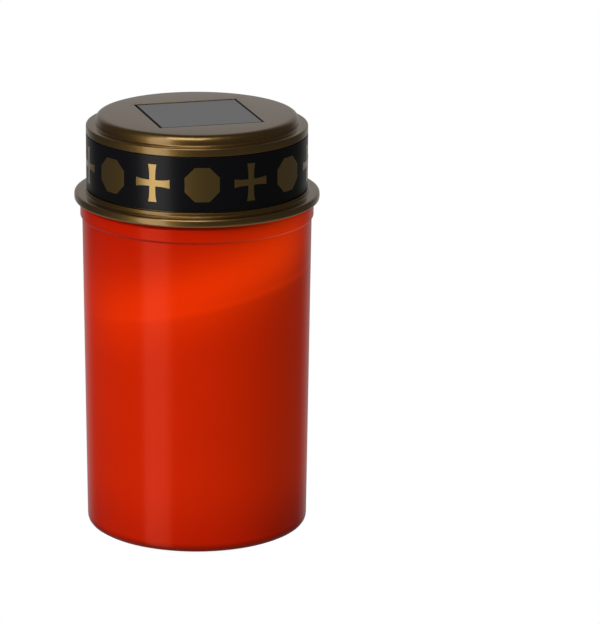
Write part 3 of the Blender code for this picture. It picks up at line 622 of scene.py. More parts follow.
def battery_sleeve():
    """Green shrink sleeve with one pale ring, and bright steel at the plus end."""
    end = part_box("battery")[1].x
    sleeve_end = end - 0.0014
    ring_place = end - 0.006
    ring_width = 0.0012

    def paint(nodes, place):
        x, _, _ = nodes.split(place)
        steel = x.rise(sleeve_end, sleeve_end + 0.0001)
        ring = (x - ring_place).bell(ring_width).rise(0.4, 0.6)
        cloud = nodes.noise(place, 200.0)
        green = nodes.mix(cloud, (0.05, 0.26, 0.09), (0.07, 0.34, 0.12))
        sleeve = nodes.mix(ring, green, (0.7, 0.7, 0.66))
        return {
            "Base_Color": nodes.mix(steel, sleeve, (0.6, 0.6, 0.57)),
            "Roughness": cloud * 0.08 + 0.28,
            "Metallic": steel,
        }

    return finish("battery_sleeve", paint)


def lit_lens():
    """Warm tinted epoxy that glows most at its tip."""
    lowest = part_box("led")[0].z
    lit_length = 0.006

    def paint(nodes, place):
        _, _, z = nodes.split(place)
        tip = z.rise(lowest + lit_length, lowest)
        return {
            "Base_Color": nodes.mix(tip, (0.75, 0.5, 0.2), (0.95, 0.75, 0.4)),
            "Roughness": nodes.noise(place, 800.0) * 0.04 + 0.08,
            "Emission_Color": nodes.mix(tip, (0.25, 0.12, 0.02), (1.0, 0.62, 0.2)),
        }

    return finish("lit_lens", paint, Emission_Strength=1.5)


def soft_sleeve(name, colour):
    """A wire's soft insulation."""
    return plain_plastic(name, colour, 0.4, 0.0008, 0.000005)


def rounded(corners):
    """An outline through corners of (radius, height, round), each turned along its own round."""
    points = []
    last = len(corners) - 1
    for index, (radius, height, size) in enumerate(corners):
        here = Vector((radius, height))
        if size == 0.0 or index in (0, last):
            points.append(here)
            continue
        before = Vector(corners[index - 1][:2]) - here
        after = Vector(corners[index + 1][:2]) - here
        room_before = before.length * size / (size + corners[index - 1][2])
        room_after = after.length * size / (size + corners[index + 1][2])
        reach = min(size / math.tan(before.angle(after) / 2), room_before, room_after)
        start = here + before.normalized() * reach
        end = here + after.normalized() * reach
        for step in range(CORNER_STEPS + 1):
            t = step / CORNER_STEPS
            points.append(start * (1 - t) ** 2 + here * (2 * t * (1 - t)) + end * t ** 2)
    return points


def turned(outline, steps=TURN_STEPS):
    """A solid of revolution about Z, closed on the axis or, for a ring, on itself."""
    shape = bmesh.new()
    corners = [shape.verts.new((radius, 0.0, height)) for radius, height in outline]
    ring = outline[0][0] > 0.0
    following = corners[1:] + corners[:1] if ring else corners[1:]
    edges = [shape.edges.new(pair) for pair in zip(corners, following)]
    bmesh.ops.spin(
        shape, geom=corners + edges, cent=(0.0, 0.0, 0.0), axis=(0.0, 0.0, 1.0),
        angle=math.tau, steps=steps, use_merge=True,
    )
    bmesh.ops.remove_doubles(shape, verts=shape.verts, dist=WELD)
    bmesh.ops.recalc_face_normals(shape, faces=shape.faces)
    return shape


def block(low, high, shape=None):
    """A box between two corners, added to a shape or a shape of its own."""
    low = Vector(low)
    high = Vector(high)
    if shape is None:
        shape = bmesh.new()
    placed = Matrix.Translation((low + high) / 2) @ Matrix.Diagonal((*(high - low), 1.0))
    bmesh.ops.create_cube(shape, size=1.0, matrix=placed)
    return shape


def rod(shape, middle, radius, low, high):
    """Add an upright round bar."""
    placed = Matrix.Translation((middle.x, middle.y, (low + high) / 2))
    bmesh.ops.create_cone(
        shape, cap_ends=True, segments=SMALL_TURN_STEPS, radius1=radius, radius2=radius,
        depth=high - low, matrix=placed,
    )


def scene_object(name, data):
    """A new object in the scene."""
    thing = bpy.data.objects.new(name, data)
    bpy.context.scene.collection.objects.link(thing)
    return thing


def mesh_of(name, shape, sharp=SHARP_ANGLE):
    """A smooth mesh made of a shape, with its hard edges kept sharp."""
    mesh = bpy.data.meshes.new(name)
    shape.to_mesh(mesh)
    shape.free()
    mesh.shade_smooth()
    mesh.set_sharp_from_angle(angle=sharp)
    return mesh


def dress(thing, material, body, slot, *nodes):
    """Give a piece its material and its body, and hide the frame's nodes that it stands for. The slot is not
    used.
    """
    thing.data.materials.clear()
    thing.data.materials.append(material)
    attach(thing, body)
    if nodes:
        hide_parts(*nodes)
    return thing


def piece(name, shape, material, body, slot, *nodes, sharp=SHARP_ANGLE):
    """A dressed piece made of a shape."""
    thing = scene_object(name, mesh_of(name, shape, sharp))
    return dress(thing, material, body, slot, *nodes)


def carve(thing, shape, operation):
    """Join a shape to a piece or cut it away, for good."""
    operand = scene_object("operand", mesh_of("operand", shape))
    boolean = thing.modifiers.new("carve", "BOOLEAN")
    boolean.operation = operation
    boolean.solver = "EXACT"
    boolean.use_self = True
    boolean.object = operand
    bpy.context.view_layer.update()
    made = bpy.data.meshes.new_from_object(thing.evaluated_get(bpy.context.evaluated_depsgraph_get()))
    thing.modifiers.remove(boolean)
    thing.data = made
    made.set_sharp_from_angle(angle=SHARP_ANGLE)
    bpy.data.objects.remove(operand)


def ease(thing, edge, segments=2):
    """Round a piece's hard edges and keep its flat faces flat."""
    bevel = thing.modifiers.new("edges", "BEVEL")
    bevel.width = edge
    bevel.segments = segments
    bevel.limit_method = "ANGLE"
    bevel.angle_limit = SHARP_ANGLE
    bevel.harden_normals = True
    return thing


def moulding(name, node, material, body, slot, edge):
    """A piece of the frame with its hard edges rounded."""
    shape = bmesh.new()
    shape.from_mesh(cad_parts[node].data)
    bmesh.ops.remove_doubles(shape, verts=shape.verts, dist=WELD)
    bmesh.ops.dissolve_limit(shape, angle_limit=FLAT_ANGLE, verts=shape.verts, edges=shape.edges)
    return ease(piece(name, shape, material, body, slot, node), edge)


def wire(name, points, radius, material, body, slot, *nodes):
    """A round wire through these points."""
    curve = bpy.data.curves.new(name, "CURVE")
    curve.dimensions = "3D"
    curve.bevel_depth = radius
    curve.bevel_resolution = 4
    curve.use_fill_caps = True
    spline = curve.splines.new("POLY")
    spline.points.add(len(points) - 1)
    for target, point in zip(spline.points, points):
        target.co = (*point, 1.0)
    spline.use_smooth = True
    return dress(scene_object(name, curve), material, body, slot, *nodes)


def smooth_route(route):
    """Points read from a smooth curve through the route's own points."""
    knots = [Vector(point) for point in (route[0], *route, route[-1])]
    points = []
    for before, start, end, after in zip(knots, knots[1:], knots[2:], knots[3:]):
        leaving = (end - before) / 2
        arriving = (after - start) / 2
        for step in range(WIRE_STEPS):
            t = step / WIRE_STEPS
            along = start.lerp(end, t * t * (3 - 2 * t))
            points.append(along + leaving * (t * (1 - t) ** 2) - arriving * (t * t * (1 - t)))
    points.append(knots[-1])
    return points


def lid_outline():
    """The lid from its top, down the outside, round the bead and up the inside."""
    wall = BAND_HIGH.x
    top = LID_HIGH.z
    edge = LID_LOW.z
    bead = LID_HIGH.x
    crown = wall - CROWN_STEP
    ring_z = top - CROWN_HEIGHT
    bore = PLATE_HIGH.x + SEAT_GAP
    recess = bore + LID_WALL
    recess_top = BAND_HIGH.z + SEAT_GAP
    recess_low = BAND_LOW.z - SEAT_GAP
    skirt = wall + SKIRT_PROUD
    bead_top = edge + BEAD_HEIGHT
    under_bead = bead_top - BEAD_SKIN
    ring_ceiling = ring_z - LID_WALL
    ceiling = top - LID_TOP_WALL
    return rounded([
        (0.0, top, 0.0),
        (crown, top, CROWN_ROUND),
        (crown, ring_z, CROWN_FILLET),
        (wall, ring_z, RING_ROUND),
        (wall, recess_top, RING_EDGE_ROUND),
        (recess, recess_top, 0.0),
        (recess, recess_low, 0.0),
        (skirt, recess_low, SKIRT_ROUND),
        (skirt, bead_top, FLANGE_FILLET),
        (bead, bead_top, BEAD_ROUND),
        (bead, edge, BEAD_ROUND),
        (bead - LID_WALL, edge, FINE_ROUND),
        (bead - LID_WALL, under_bead, FINE_ROUND),
        (recess, under_bead, FINE_ROUND),
        (recess, edge, FINE_ROUND),
        (bore, edge, FINE_ROUND),
        (bore, ring_ceiling, FINE_ROUND),
        (crown - LID_WALL, ring_ceiling, FINE_ROUND),
        (crown - LID_WALL, ceiling, FINE_ROUND),
        (0.0, ceiling, 0.0),
    ])


def pocket_shape(grow, low, high, lip):
    """A square post round the solar cell, flared at its top by a lip."""
    low_corner = (CELL_LOW.x - grow, CELL_LOW.y - grow, low)
    high_corner = (CELL_HIGH.x + grow, CELL_HIGH.y + grow, high)
    shape = block(low_corner, high_corner)
    if lip:
        top = [face for face in shape.faces if face.normal.z > 0.5]
        stretch = (1.0 + lip / (CELL_HIGH.x + grow)) * POCKET_FLARE
        flared = bmesh.ops.extrude_face_region(shape, geom=top)["geom"]
        rim = [item for item in flared if isinstance(item, bmesh.types.BMVert)]
        bmesh.ops.translate(shape, verts=rim, vec=(0.0, 0.0, 2 * lip))
        bmesh.ops.scale(shape, verts=rim, vec=(stretch, stretch, 1.0))
        bmesh.ops.delete(shape, geom=top, context="FACES_ONLY")
    bmesh.ops.recalc_face_normals(shape, faces=shape.faces)
    return shape


class CANDLE_OT_lid(bpy.types.Operator):
    """Build the gold lid with its bead and the pocket for the solar cell"""

    bl_idname = "candle.lid"
    bl_label = "Lid"

    def execute(self, context):
        material = gold_lacquer(context.scene.candle.lid)
        lid = piece("lid_gold_shell", turned(lid_outline()), material, "lid", "gold_lacquer", "lid_shell")
        pad_low, pad_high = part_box("cell_pad")
        tray_top = CELL_LOW.z - SEAT_GAP * 2 - (pad_high.z - pad_low.z)
        tray_low = tray_top - TRAY_FLOOR
        top = LID_HIGH.z
        inside_top = top - LID_TOP_WALL / 2
        screws = [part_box(f"plate_screw_{number}") for number in (1, 2, 3)]
        added = pocket_shape(SEAT_GAP + TRAY_WALL, tray_low, inside_top, 0.0)
        for low, high in screws:
            rod(added, (low + high) / 2, BOSS_RADIUS, PLATE_LOW.z + PLATE_THICKNESS + SEAT_GAP, inside_top)
        carve(lid, added, "UNION")
        removed = pocket_shape(SEAT_GAP, tray_top, top - POCKET_LIP, POCKET_LIP)
        for low, high in screws:
            rod(removed, (low + high) / 2, BOSS_BORE, PLATE_LOW.z, high.z + SEAT_GAP)
        carve(lid, removed, "DIFFERENCE")
        wire_x, wire_y, wire_top = CELL_WIRE_ROUTE[0]
        room = WIRE_RADIUS + WIRE_ROOM
        slot_low = (-wire_x - room, wire_y - room, tray_low - room)
        slot_high = (wire_x + room, wire_y + room, wire_top)
        carve(lid, block(slot_low, slot_high), "DIFFERENCE")
        return {"FINISHED"}


def cup_outline():
    """The cup from the middle of its floor up the inside, over the neck and down the outside."""
    rim = LID_LOW.z - SEAT_GAP
    collar = CUP_HIGH.x
    collar_low = rim - COLLAR_HEIGHT
    body_low = collar_low - CREASE_HEIGHT
    body = collar - COLLAR_PROUD
    foot = body - CUP_DRAFT
    neck = PLATE_HIGH.x
    floor = FOOT_RECESS + CUP_WALL
    socket_top = FOOT_RECESS + SOCKET_DEPTH
    ring_bore = foot - FOOT_ROUND - FOOT_RING_WIDTH
    return rounded([
        (0.0, socket_top + CUP_WALL, 0.0),
        (SOCKET_RADIUS + CUP_WALL, socket_top + CUP_WALL, CUP_WALL),
        (SOCKET_RADIUS + CUP_WALL, floor, FINE_ROUND),
        (foot - CUP_WALL, floor, CUP_WALL),
        (body - CUP_WALL, body_low, CREASE_ROUND),
        (collar - CUP_WALL, collar_low, CREASE_ROUND),
        (collar - CUP_WALL, rim - CUP_WALL, COLLAR_ROUND),
        (neck - CUP_WALL, rim - CUP_WALL, COLLAR_ROUND),
        (neck - CUP_WALL, CUP_HIGH.z, NECK_ROUND),
        (neck, CUP_HIGH.z, NECK_ROUND),
        (neck, rim, FINE_ROUND),
        (collar - COLLAR_CHAMFER, rim, CHAMFER_ROUND),
        (collar, rim - COLLAR_CHAMFER, COLLAR_ROUND),
        (collar, collar_low, CREASE_ROUND),
        (body, body_low, CREASE_ROUND),
        (foot, 0.0, FOOT_ROUND),
        (ring_bore, 0.0, FINE_ROUND),
        (ring_bore, FOOT_RECESS, FINE_ROUND),
        (SOCKET_RADIUS, FOOT_RECESS, FINE_ROUND),
        (SOCKET_RADIUS, socket_top, FINE_ROUND),
        (0.0, socket_top, 0.0),
    ])


class CANDLE_OT_cup(bpy.types.Operator):
    """Build the red cup with its collar, neck and foot ring"""

    bl_idname = "candle.cup"
    bl_label = "Cup"

    def execute(self, context):
        material = red_plastic_painted_glow(context.scene.candle.cup)
        piece("cup_red_gloss", turned(cup_outline()), material, "cup", "red_cup", "cup")
        return {"FINISHED"}


def octagon(size):
    """Corners of a regular octagon with a flat top."""
    reach = size / 2 / math.cos(math.pi / 8)
    angles = [math.pi / 8 * (2 * corner + 1) for corner in range(8)]
    return [(reach * math.cos(angle), reach * math.sin(angle)) for angle in angles]


def cross(look):
    """Corners of a cross whose arms flare towards their ends."""
    across = look.cross_width / 2
    up = look.cross_height / 2
    root = look.arm_width / 2
    flare = (look.arm_flare - look.arm_width) / 2
    shares = [step / FLARE_STEPS for step in range(1, FLARE_STEPS + 1)]
    corners = []
    for dx, dy, length in ((1, 0, across), (0, 1, up), (-1, 0, across), (0, -1, up)):
        sides = [(root + (length - root) * share, root + flare * share ** 3) for share in shares]
        corners += [(dx * along + dy * half, dy * along - dx * half) for along, half in sides]
        corners += [(dx * along - dy * half, dy * along + dx * half) for along, half in reversed(sides)]
        corners.append((dx * root - dy * root, dy * root + dx * root))
    return corners


def foil_on_band(shape, outline, azimuth, thickness):
    """Lay a thin motif round the band at this azimuth, cut fine enough to follow the curve."""
    radius = BAND_HIGH.x
    middle = (BAND_LOW.z + BAND_HIGH.z) / 2
    flat = bmesh.new()
    rim = [flat.verts.new((u, 0.0, v)) for u, v in outline]
    face = flat.faces.new(rim)
    bmesh.ops.inset_region(
        flat, faces=[face], thickness=thickness * 2.0, use_boundary=True, use_even_offset=True,
    )
    width = max(u for u, v in outline)
    for cut in range(1 - FOIL_CUTS, FOIL_CUTS):
        place = (width * cut / FOIL_CUTS, 0.0, 0.0)
        geometry = flat.verts[:] + flat.edges[:] + flat.faces[:]
        bmesh.ops.bisect_plane(flat, geom=geometry, plane_co=place, plane_no=(1.0, 0.0, 0.0))
    outward = Vector((math.sin(azimuth), -math.cos(azimuth), 0.0))

    def wrapped(vert, lift):
        angle = azimuth + vert.co.x / radius
        reach = radius + lift
        return shape.verts.new((reach * math.sin(angle), -reach * math.cos(angle), middle + vert.co.z))

    seam = {vert: wrapped(vert, 0.0) for vert in flat.verts if vert.is_boundary}
    for lift in (thickness, -thickness):
        sheet = {vert: seam.get(vert) or wrapped(vert, lift) for vert in flat.verts}
        for old in flat.faces:
            new = shape.faces.new([sheet[vert] for vert in old.verts])
            new.normal_update()
            if new.normal.dot(outward) * lift < 0.0:
                new.normal_flip()
    flat.free()


class CANDLE_OT_band(bpy.types.Operator):
    """Build the black band and the gold octagons and crosses on it"""

    bl_idname = "candle.band"
    bl_label = "Band"

    def execute(self, context):
        look = context.scene.candle.lid
        inner = BAND_HIGH.x - BAND_THICKNESS
        outline = rounded([
            (inner, BAND_HIGH.z, 0.0),
            (BAND_HIGH.x, BAND_HIGH.z, BAND_EDGE),
            (BAND_HIGH.x, BAND_LOW.z, BAND_EDGE),
            (inner, BAND_LOW.z, 0.0),
        ])
        piece("band_black_print", turned(outline), black_print(look), "lid", "band_print", "printed_band")
        motifs = (("band_octagons", octagon(look.octagon_size)), ("band_crosses", cross(look)))
        for start, (name, motif) in enumerate(motifs):
            shape = bmesh.new()
            for number in range(start, look.motif_count, 2):
                azimuth = look.motif_turn + math.tau * number / look.motif_count
                foil_on_band(shape, motif, azimuth, look.foil_thickness)
            piece(name, shape, gold_foil(look), "lid", "band_print", sharp=FOIL_SHARP_ANGLE)
        return {"FINISHED"}


class CANDLE_OT_solar_cell(bpy.types.Operator):
    """Build the solar cell and the foam pad under it"""

    bl_idname = "candle.solar_cell"
    bl_label = "Solar cell"

    def execute(self, context):
        look = context.scene.candle.lid
        cell = block(CELL_LOW, CELL_HIGH)
        ease(piece("cell_film", cell, solar_film(look), "lid", "solar_film", "solar_cell"), CELL_EDGE)
        pad = block(*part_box("cell_pad"))
        foam = plain_plastic("white_foam", (0.72, 0.72, 0.69), 0.85, 0.0003, 0.00008)
        thing = ease(piece("cell_foam_pad", pad, foam, "lid", "white_foam", "cell_pad"), PAD_EDGE, 3)
        return {"FINISHED"}


class CANDLE_OT_mouldings(bpy.types.Operator):
    """Build the black spike, the lid's plate, its battery door and the switch's knob"""

    bl_idname = "candle.mouldings"
    bl_label = "Mouldings"

    def execute(self, context):
        black = black_plastic()
        white = plain_plastic("white_plastic", (0.7, 0.7, 0.68), 0.4)
        moulding("spike_blade", "spike", black, "spike", "black_plastic", SPIKE_EDGE)
        moulding("lid_plate", "module_base", black, "lid", "black_plastic", MOULDED_EDGE)
        moulding("door_panel", "battery_door", black, "door", "black_plastic", MOULDED_EDGE)
        moulding("switch_button", "switch_knob", white, "switch", "white_plastic", MOULDED_EDGE)
        return {"FINISHED"}


def screw_shape(low, high, head_height, head_down):
    """A cross-head screw between two corners, its shank cut with thread grooves."""
    middle = (low + high) / 2
    head = (high.x - low.x) / 2
    shank = head / HEAD_TO_SHANK
    root = shank * THREAD_ROOT_SHARE
    length = high.z - low.z
    outline = [(0.0, 0.0), (head * HEAD_FACE_SHARE, 0.0), (head, head_height / 2), (head, head_height)]
    place = head_height
    while place + THREAD_PITCH < length - shank:
        outline += [(shank, place), (root, place + THREAD_PITCH / 2)]
        place += THREAD_PITCH
    outline += [(shank, place), (shank * TIP_SHARE, length - shank / 3), (0.0, length)]
    shape = turned([Vector(point) for point in outline], SMALL_TURN_STEPS)
    if not head_down:
        bmesh.ops.rotate(shape, verts=shape.verts, matrix=Matrix.Rotation(math.pi, 3, "X"))
    bmesh.ops.translate(shape, verts=shape.verts, vec=(middle.x, middle.y, low.z if head_down else high.z))
    return shape


def cut_recess(screw, middle, reach, depth):
    """Cut the recess for a cross-head driver into a head's face."""
    slim = reach / 4
    for half in (Vector((reach, slim, depth)), Vector((slim, reach, depth))):
        carve(screw, block(middle - half, middle + half), "DIFFERENCE")


class CANDLE_OT_screws(bpy.types.Operator):
    """Build the cross-head screws of the lid's plate and of the board"""

    bl_idname = "candle.screws"
    bl_label = "Screws"

    def execute(self, context):
        rows = [(f"plate_screw_{number}", PLATE_SCREW_HEAD, True) for number in (1, 2, 3)]
        rows += [(f"board_screw_{number}", BOARD_SCREW_HEAD, False) for number in (1, 2)]
        for node, head_height, head_down in rows:
            low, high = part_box(node)
            shape = screw_shape(low, high, head_height, head_down)
            screw = piece(f"{node}_threaded", shape, plated_steel(), "lid", "bare_steel", node)
            face = (low + high) / 2
            face.z = low.z if head_down else high.z
            cut_recess(screw, face, (high.x - low.x) / HEAD_TO_RECESS, head_height * RECESS_SHARE)
        return {"FINISHED"}


def lie_along_x(shape, low, high):
    """Turn a shape made up Z so that it lies along X from one corner's end to the other's."""
    middle = (low + high) / 2
    bmesh.ops.rotate(shape, verts=shape.verts, matrix=Matrix.Rotation(math.pi / 2, 3, "Y"))
    bmesh.ops.translate(shape, verts=shape.verts, vec=(low.x, middle.y, middle.z))
    return shape


class CANDLE_OT_battery(bpy.types.Operator):
    """Build the battery, its contacts and its conical spring"""

    bl_idname = "candle.battery"
    bl_label = "Battery"

    def execute(self, context):
        low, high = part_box("battery")
        radius = (high.z - low.z) / 2
        length = high.x - low.x
        nub = 0.0019
        nub_height = 0.0008
        nub_round = 0.0003
        edge_round = 0.0006
        fine_round = 0.0001
        groove_depth = 0.0003
        sunk = 0.0002
        body = length - nub_height
        outline = rounded([
            (0.0, length, 0.0),
            (nub, length, nub_round),
            (nub, body, fine_round),
            (radius * 0.72, body, fine_round),
            (radius * 0.76, body - groove_depth, fine_round),
            (radius * 0.8, body, fine_round * 2),
            (radius, body, edge_round),
            (radius, 0.0, edge_round),
            (radius * 0.8, 0.0, fine_round),
            (radius * 0.76, sunk, fine_round),
            (0.0, sunk, 0.0),
        ])
        shape = lie_along_x(turned(outline, SMALL_TURN_STEPS), low, high)
        piece("battery_cell", shape, battery_sleeve(), "lid", "green_sleeve", "battery")
        for node in ("contact_plus", "contact_minus"):
            moulding(f"{node}_sheet", node, plated_steel(), "lid", "bare_steel", SHEET_EDGE)
        self.wind_spring()
        return {"FINISHED"}

    def wind_spring(self):
        """One unbroken conical wire, widest at the contact."""
        low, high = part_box("battery_spring")
        middle = (low + high) / 2
        wire_radius = 0.00025
        taper = 0.0011
        turns = 3
        steps = 32 * turns
        wide = (high.y - low.y) / 2 - wire_radius
        points = []
        for step in range(steps + 1):
            share = step / steps
            angle = math.tau * turns * share
            reach = wide - taper * share
            x = low.x + wire_radius + (high.x - low.x - 2 * wire_radius) * share
            points.append((x, middle.y + reach * math.cos(angle), middle.z + reach * math.sin(angle)))
        name = "battery_spring"
        wire(f"{name}_coil", points, wire_radius, plated_steel(), "lid", "bare_steel", name)


class CANDLE_OT_board(bpy.types.Operator):
    """Finish the circuit board, its chip and the switch's case, and wind the inductor"""

    bl_idname = "candle.board"
    bl_label = "Board"

    def execute(self, context):
        moulding("board_panel", "circuit_board", green_board(), "lid", "green_board", BOARD_EDGE)
        moulding("chip_body", "driver_chip", chip_finish(), "lid", "black_plastic", BOARD_EDGE)
        moulding("switch_case", "switch_body", plated_steel(), "lid", "bare_steel", MOULDED_EDGE)
        low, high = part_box("inductor")
        middle = (low + high) / 2
        radius = (high.x - low.x) / 2
        height = high.z - low.z
        flange = 0.0008
        turns = 9
        pitch = (height - 2 * flange) / turns
        valley = radius * 0.8
        crest = radius * 0.84
        coil = []
        for turn in range(turns):
            base = flange + turn * pitch
            coil += [(valley, base + pitch * 0.1), (crest, base + pitch * 0.5), (valley, base + pitch * 0.9)]
        outline = [(0.0, 0.0), (radius, 0.0), (radius, flange), *coil, (radius, height - flange)]
        outline += [(radius, height), (0.0, height)]
        shape = turned([Vector(point) for point in outline], SMALL_TURN_STEPS)
        bmesh.ops.translate(shape, verts=shape.verts, vec=(middle.x, middle.y, low.z))
        copper = metal("copper_coil", (0.5, 0.2, 0.08), 0.35)
        piece("inductor_coil", shape, copper, "lid", "copper_coil", "inductor")
        return {"FINISHED"}


class CANDLE_OT_led(bpy.types.Operator):
    """Build the LED's lens and its two leads"""

    bl_idname = "candle.led"
    bl_label = "LED"

    def execute(self, context):
        low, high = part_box("led")
        middle = (low + high) / 2
        flange = (high.x - low.x) / 2
        lens = 0.0025
        flange_height = 0.001
        flange_round = 0.0001
        lead_half = 0.00025
        lead_reach = 0.00127
        flange_top = BOARD_LOW.z - SEAT_GAP
        flange_low = flange_top - flange_height
        outline = rounded([
            (0.0, flange_top, 0.0),
            (flange, flange_top, flange_round),
            (flange, flange_low, flange_round),
            (lens, flange_low, flange_round),
            (lens, low.z, lens),
            (0.0, low.z, 0.0),
        ])
        shape = turned(outline, SMALL_TURN_STEPS)
        bmesh.ops.translate(shape, verts=shape.verts, vec=(middle.x, middle.y, 0.0))
        piece("led_lens", shape, lit_lens(), "lid", "warm_lens", "led")
        leads = bmesh.new()
        for x in (middle.x - lead_reach, middle.x + lead_reach):
            lead_low = (x - lead_half, middle.y - lead_half, flange_top)
            block(lead_low, (x + lead_half, middle.y + lead_half, high.z), leads)
        ease(piece("led_leads", leads, plated_steel(), "lid", "bare_steel"), LEAD_EDGE)
        return {"FINISHED"}


class CANDLE_OT_wires(bpy.types.Operator):
    """Lay the red and black wires of the solar cell and of the battery"""

    bl_idname = "candle.wires"
    bl_label = "Wires"

    def execute(self, context):
        sleeves = {
            "red": (1, soft_sleeve("red_sleeve", (0.5, 0.02, 0.015))),
            "black": (-1, soft_sleeve("black_sleeve", (0.014, 0.014, 0.014))),
        }
        for start, route in (("cell", CELL_WIRE_ROUTE), ("battery", BATTERY_WIRE_ROUTE)):
            for colour, (side, material) in sleeves.items():
                points = smooth_route([(side * x, y, z) for x, y, z in route])
                node = f"{start}_wire_{colour}"
                wire(f"{node}_sleeve", points, WIRE_RADIUS, material, "lid", f"{colour}_wire", node)
        return {"FINISHED"}


def softbox(name, azimuth, elevation, distance, size, power, aim, lights=True, mirrored=True):
    """A rectangular lamp that looks at a point of the candle."""
    light = bpy.data.lights.new(name, "AREA")
    light.shape = "RECTANGLE"
    light.size, light.size_y = size
    light.energy = power
    lamp = scene_object(name, light)
    level = math.cos(elevation)
    away = Vector((math.sin(azimuth) * level, -math.cos(azimuth) * level, math.sin(elevation)))
    lamp.location = Vector(aim) + away * distance
    lamp.rotation_euler = away.to_track_quat("Z", "Y").to_euler()
    lamp.visible_camera = False
    lamp.visible_diffuse = lights
    lamp.visible_glossy = mirrored


def light_world(setup):
    """White to the camera, a backdrop and a dim room to reflections, and an even fill to the rest."""
    world = bpy.data.worlds.new("studio")
    bpy.context.scene.world = world
    nodes = Nodes(world)
    rays = ("Is Camera Ray", "Is Glossy Ray", "Is Transmission Ray")
    camera, glossy, through = nodes.add("ShaderNodeLightPath", outputs=rays)
    direction = nodes.add("ShaderNodeTexCoord", outputs="Generated")
    x, y, z = nodes.split(direction)
    behind = (x * -math.sin(setup.azimuth) + y * math.cos(setup.azimuth)).rise(0.62, 0.98)
    below = (z * -1.0).rise(0.35, 0.75)
    mirrored = (behind + below).least(1.0) * (setup.backdrop - setup.room) + setup.room
    seen = glossy.most(through)
    level = seen * mirrored + (1.0 - seen) * setup.fill
    strength = camera + (1.0 - camera) * level
    background = nodes.tree.nodes["Background"]
    nodes.feed(background.inputs["Strength"], strength)
    nodes.feed(background.inputs["Color"], WHITE)


def lay_floor(setup):
    """A pale oval floor at the ground line that keeps the candle's shadow and goes white at its rim."""
    lit_share = 0.25
    floor_grey = (0.3, 0.3, 0.3)
    white_level = 1.27
    shape = bmesh.new()
    bmesh.ops.create_circle(shape, cap_ends=True, segments=TURN_STEPS, radius=1.0)
    floor = scene_object("floor", mesh_of("floor", shape))
    floor.location.z = -SEAT_GAP
    floor.scale = (setup.floor_width / 2, setup.floor_length / 2, 1.0)
    floor.rotation_euler.z = setup.floor_turn
    material = bpy.data.materials.new("pale_floor")
    nodes = Nodes(material)
    camera = nodes.add("ShaderNodeLightPath", outputs="Is Camera Ray")
    reach = nodes.add("ShaderNodeVectorMath", {"operation": "LENGTH"}, {0: nodes.place()}, "Value")
    lit = nodes.add("ShaderNodeBsdfDiffuse", None, {"Color": floor_grey}, "BSDF")
    white = nodes.add("ShaderNodeEmission", None, {"Color": WHITE, "Strength": white_level}, "Emission")
    share = camera * (reach.rise(0.6, 0.95) * lit_share + (1.0 - lit_share))
    mixed = nodes.add("ShaderNodeMixShader", None, {0: share, 1: lit, 2: white})
    nodes.feed(nodes.tree.nodes["Material Output"].inputs["Surface"], mixed)
    floor.data.materials.append(material)
    floor.visible_glossy = False


def place_camera(setup):
    """Stand the camera round the candle, then pan, pitch and roll it."""
    camera = scene_object("camera", bpy.data.cameras.new("camera"))
    camera.data.lens = setup.lens
    place = Matrix.Translation((0.0, -setup.distance, setup.height))
    stand = Matrix.Rotation(setup.azimuth, 4, "Z") @ place
    turn = Matrix.Rotation(-setup.pan, 4, "Z") @ Matrix.Rotation(math.pi / 2 - setup.pitch, 4, "X")
    camera.matrix_world = stand @ turn @ Matrix.Rotation(setup.roll, 4, "Z")
    bpy.context.scene.camera = camera


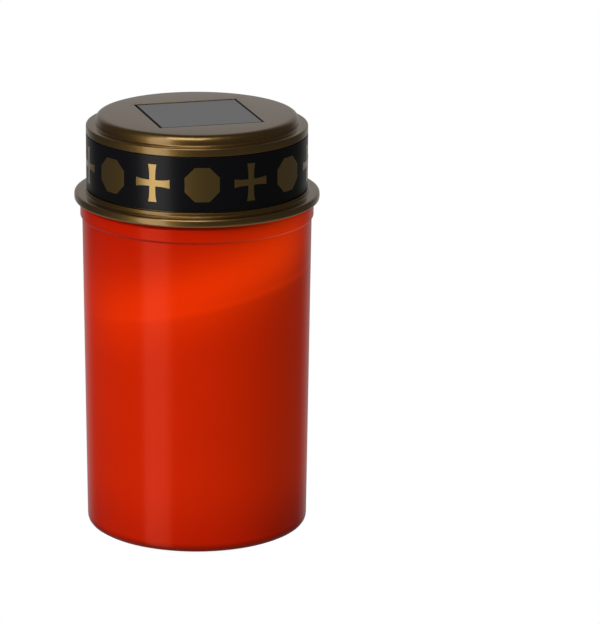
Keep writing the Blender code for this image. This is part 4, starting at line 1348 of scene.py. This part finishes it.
class CANDLE_OT_studio(bpy.types.Operator):
    """Build the floor, the lamps, the white surroundings and the camera"""

    bl_idname = "candle.studio"
    bl_label = "Studio"

    def execute(self, context):
        setup = context.scene.candle.studio
        middle = (0.0, 0.0, LID_HIGH.z / 2)
        context.scene.view_settings.view_transform = "Standard"
        light_world(setup)
        lay_floor(setup)
        view = setup.azimuth
        front = view - math.radians(14)
        left = view - math.radians(42)
        right = view + math.radians(70)
        steep = math.radians(52)
        raised = math.radians(30)
        square = (0.8, 0.8)
        softbox("front_top", front, steep, 1.1, (0.7, 0.6), 3.9, middle)
        softbox("left_strip", left, 0.0, 1.0, (0.5, 1.8), 4.1, middle, lights=False)
        softbox("left_fill", left, raised, 1.4, square, 12.6, middle, mirrored=False)
        softbox("right_fill", right, raised, 1.4, square, 2.6, middle, mirrored=False)
        place_camera(setup)
        return {"FINISHED"}


class CANDLE_PT_panel(bpy.types.Panel):
    """Lists the candle's pieces and their settings"""

    bl_label = "Candle"
    bl_idname = "CANDLE_PT_panel"
    bl_space_type = "VIEW_3D"
    bl_region_type = "UI"
    bl_category = "Candle"

    def draw(self, context):
        settings = context.scene.candle
        for operator in OPERATORS:
            self.layout.operator(operator.bl_idname)
        for group in (settings.cup, settings.lid, settings.studio):
            column = self.layout.column(align=True)
            for name in group.bl_rna.properties.keys():
                if name not in ("rna_type", "name"):
                    column.prop(group, name)


OPERATORS = (
    CANDLE_OT_studio,
    CANDLE_OT_cup,
    CANDLE_OT_lid,
    CANDLE_OT_band,
    CANDLE_OT_solar_cell,
    CANDLE_OT_mouldings,
    CANDLE_OT_screws,
    CANDLE_OT_battery,
    CANDLE_OT_board,
    CANDLE_OT_led,
    CANDLE_OT_wires,
)
CLASSES = (CupLook, LidLook, StudioSetup, CandleSettings, *OPERATORS, CANDLE_PT_panel)


def register():
    for kind in CLASSES:
        bpy.utils.register_class(kind)
    bpy.types.Scene.candle = PointerProperty(type=CandleSettings)


def unregister():
    del bpy.types.Scene.candle
    for kind in reversed(CLASSES):
        bpy.utils.unregister_class(kind)


def main():
    register()
    for operator in OPERATORS:
        group, name = operator.bl_idname.split(".")
        getattr(getattr(bpy.ops, group), name)()


if __name__ == "__main__":
    main()
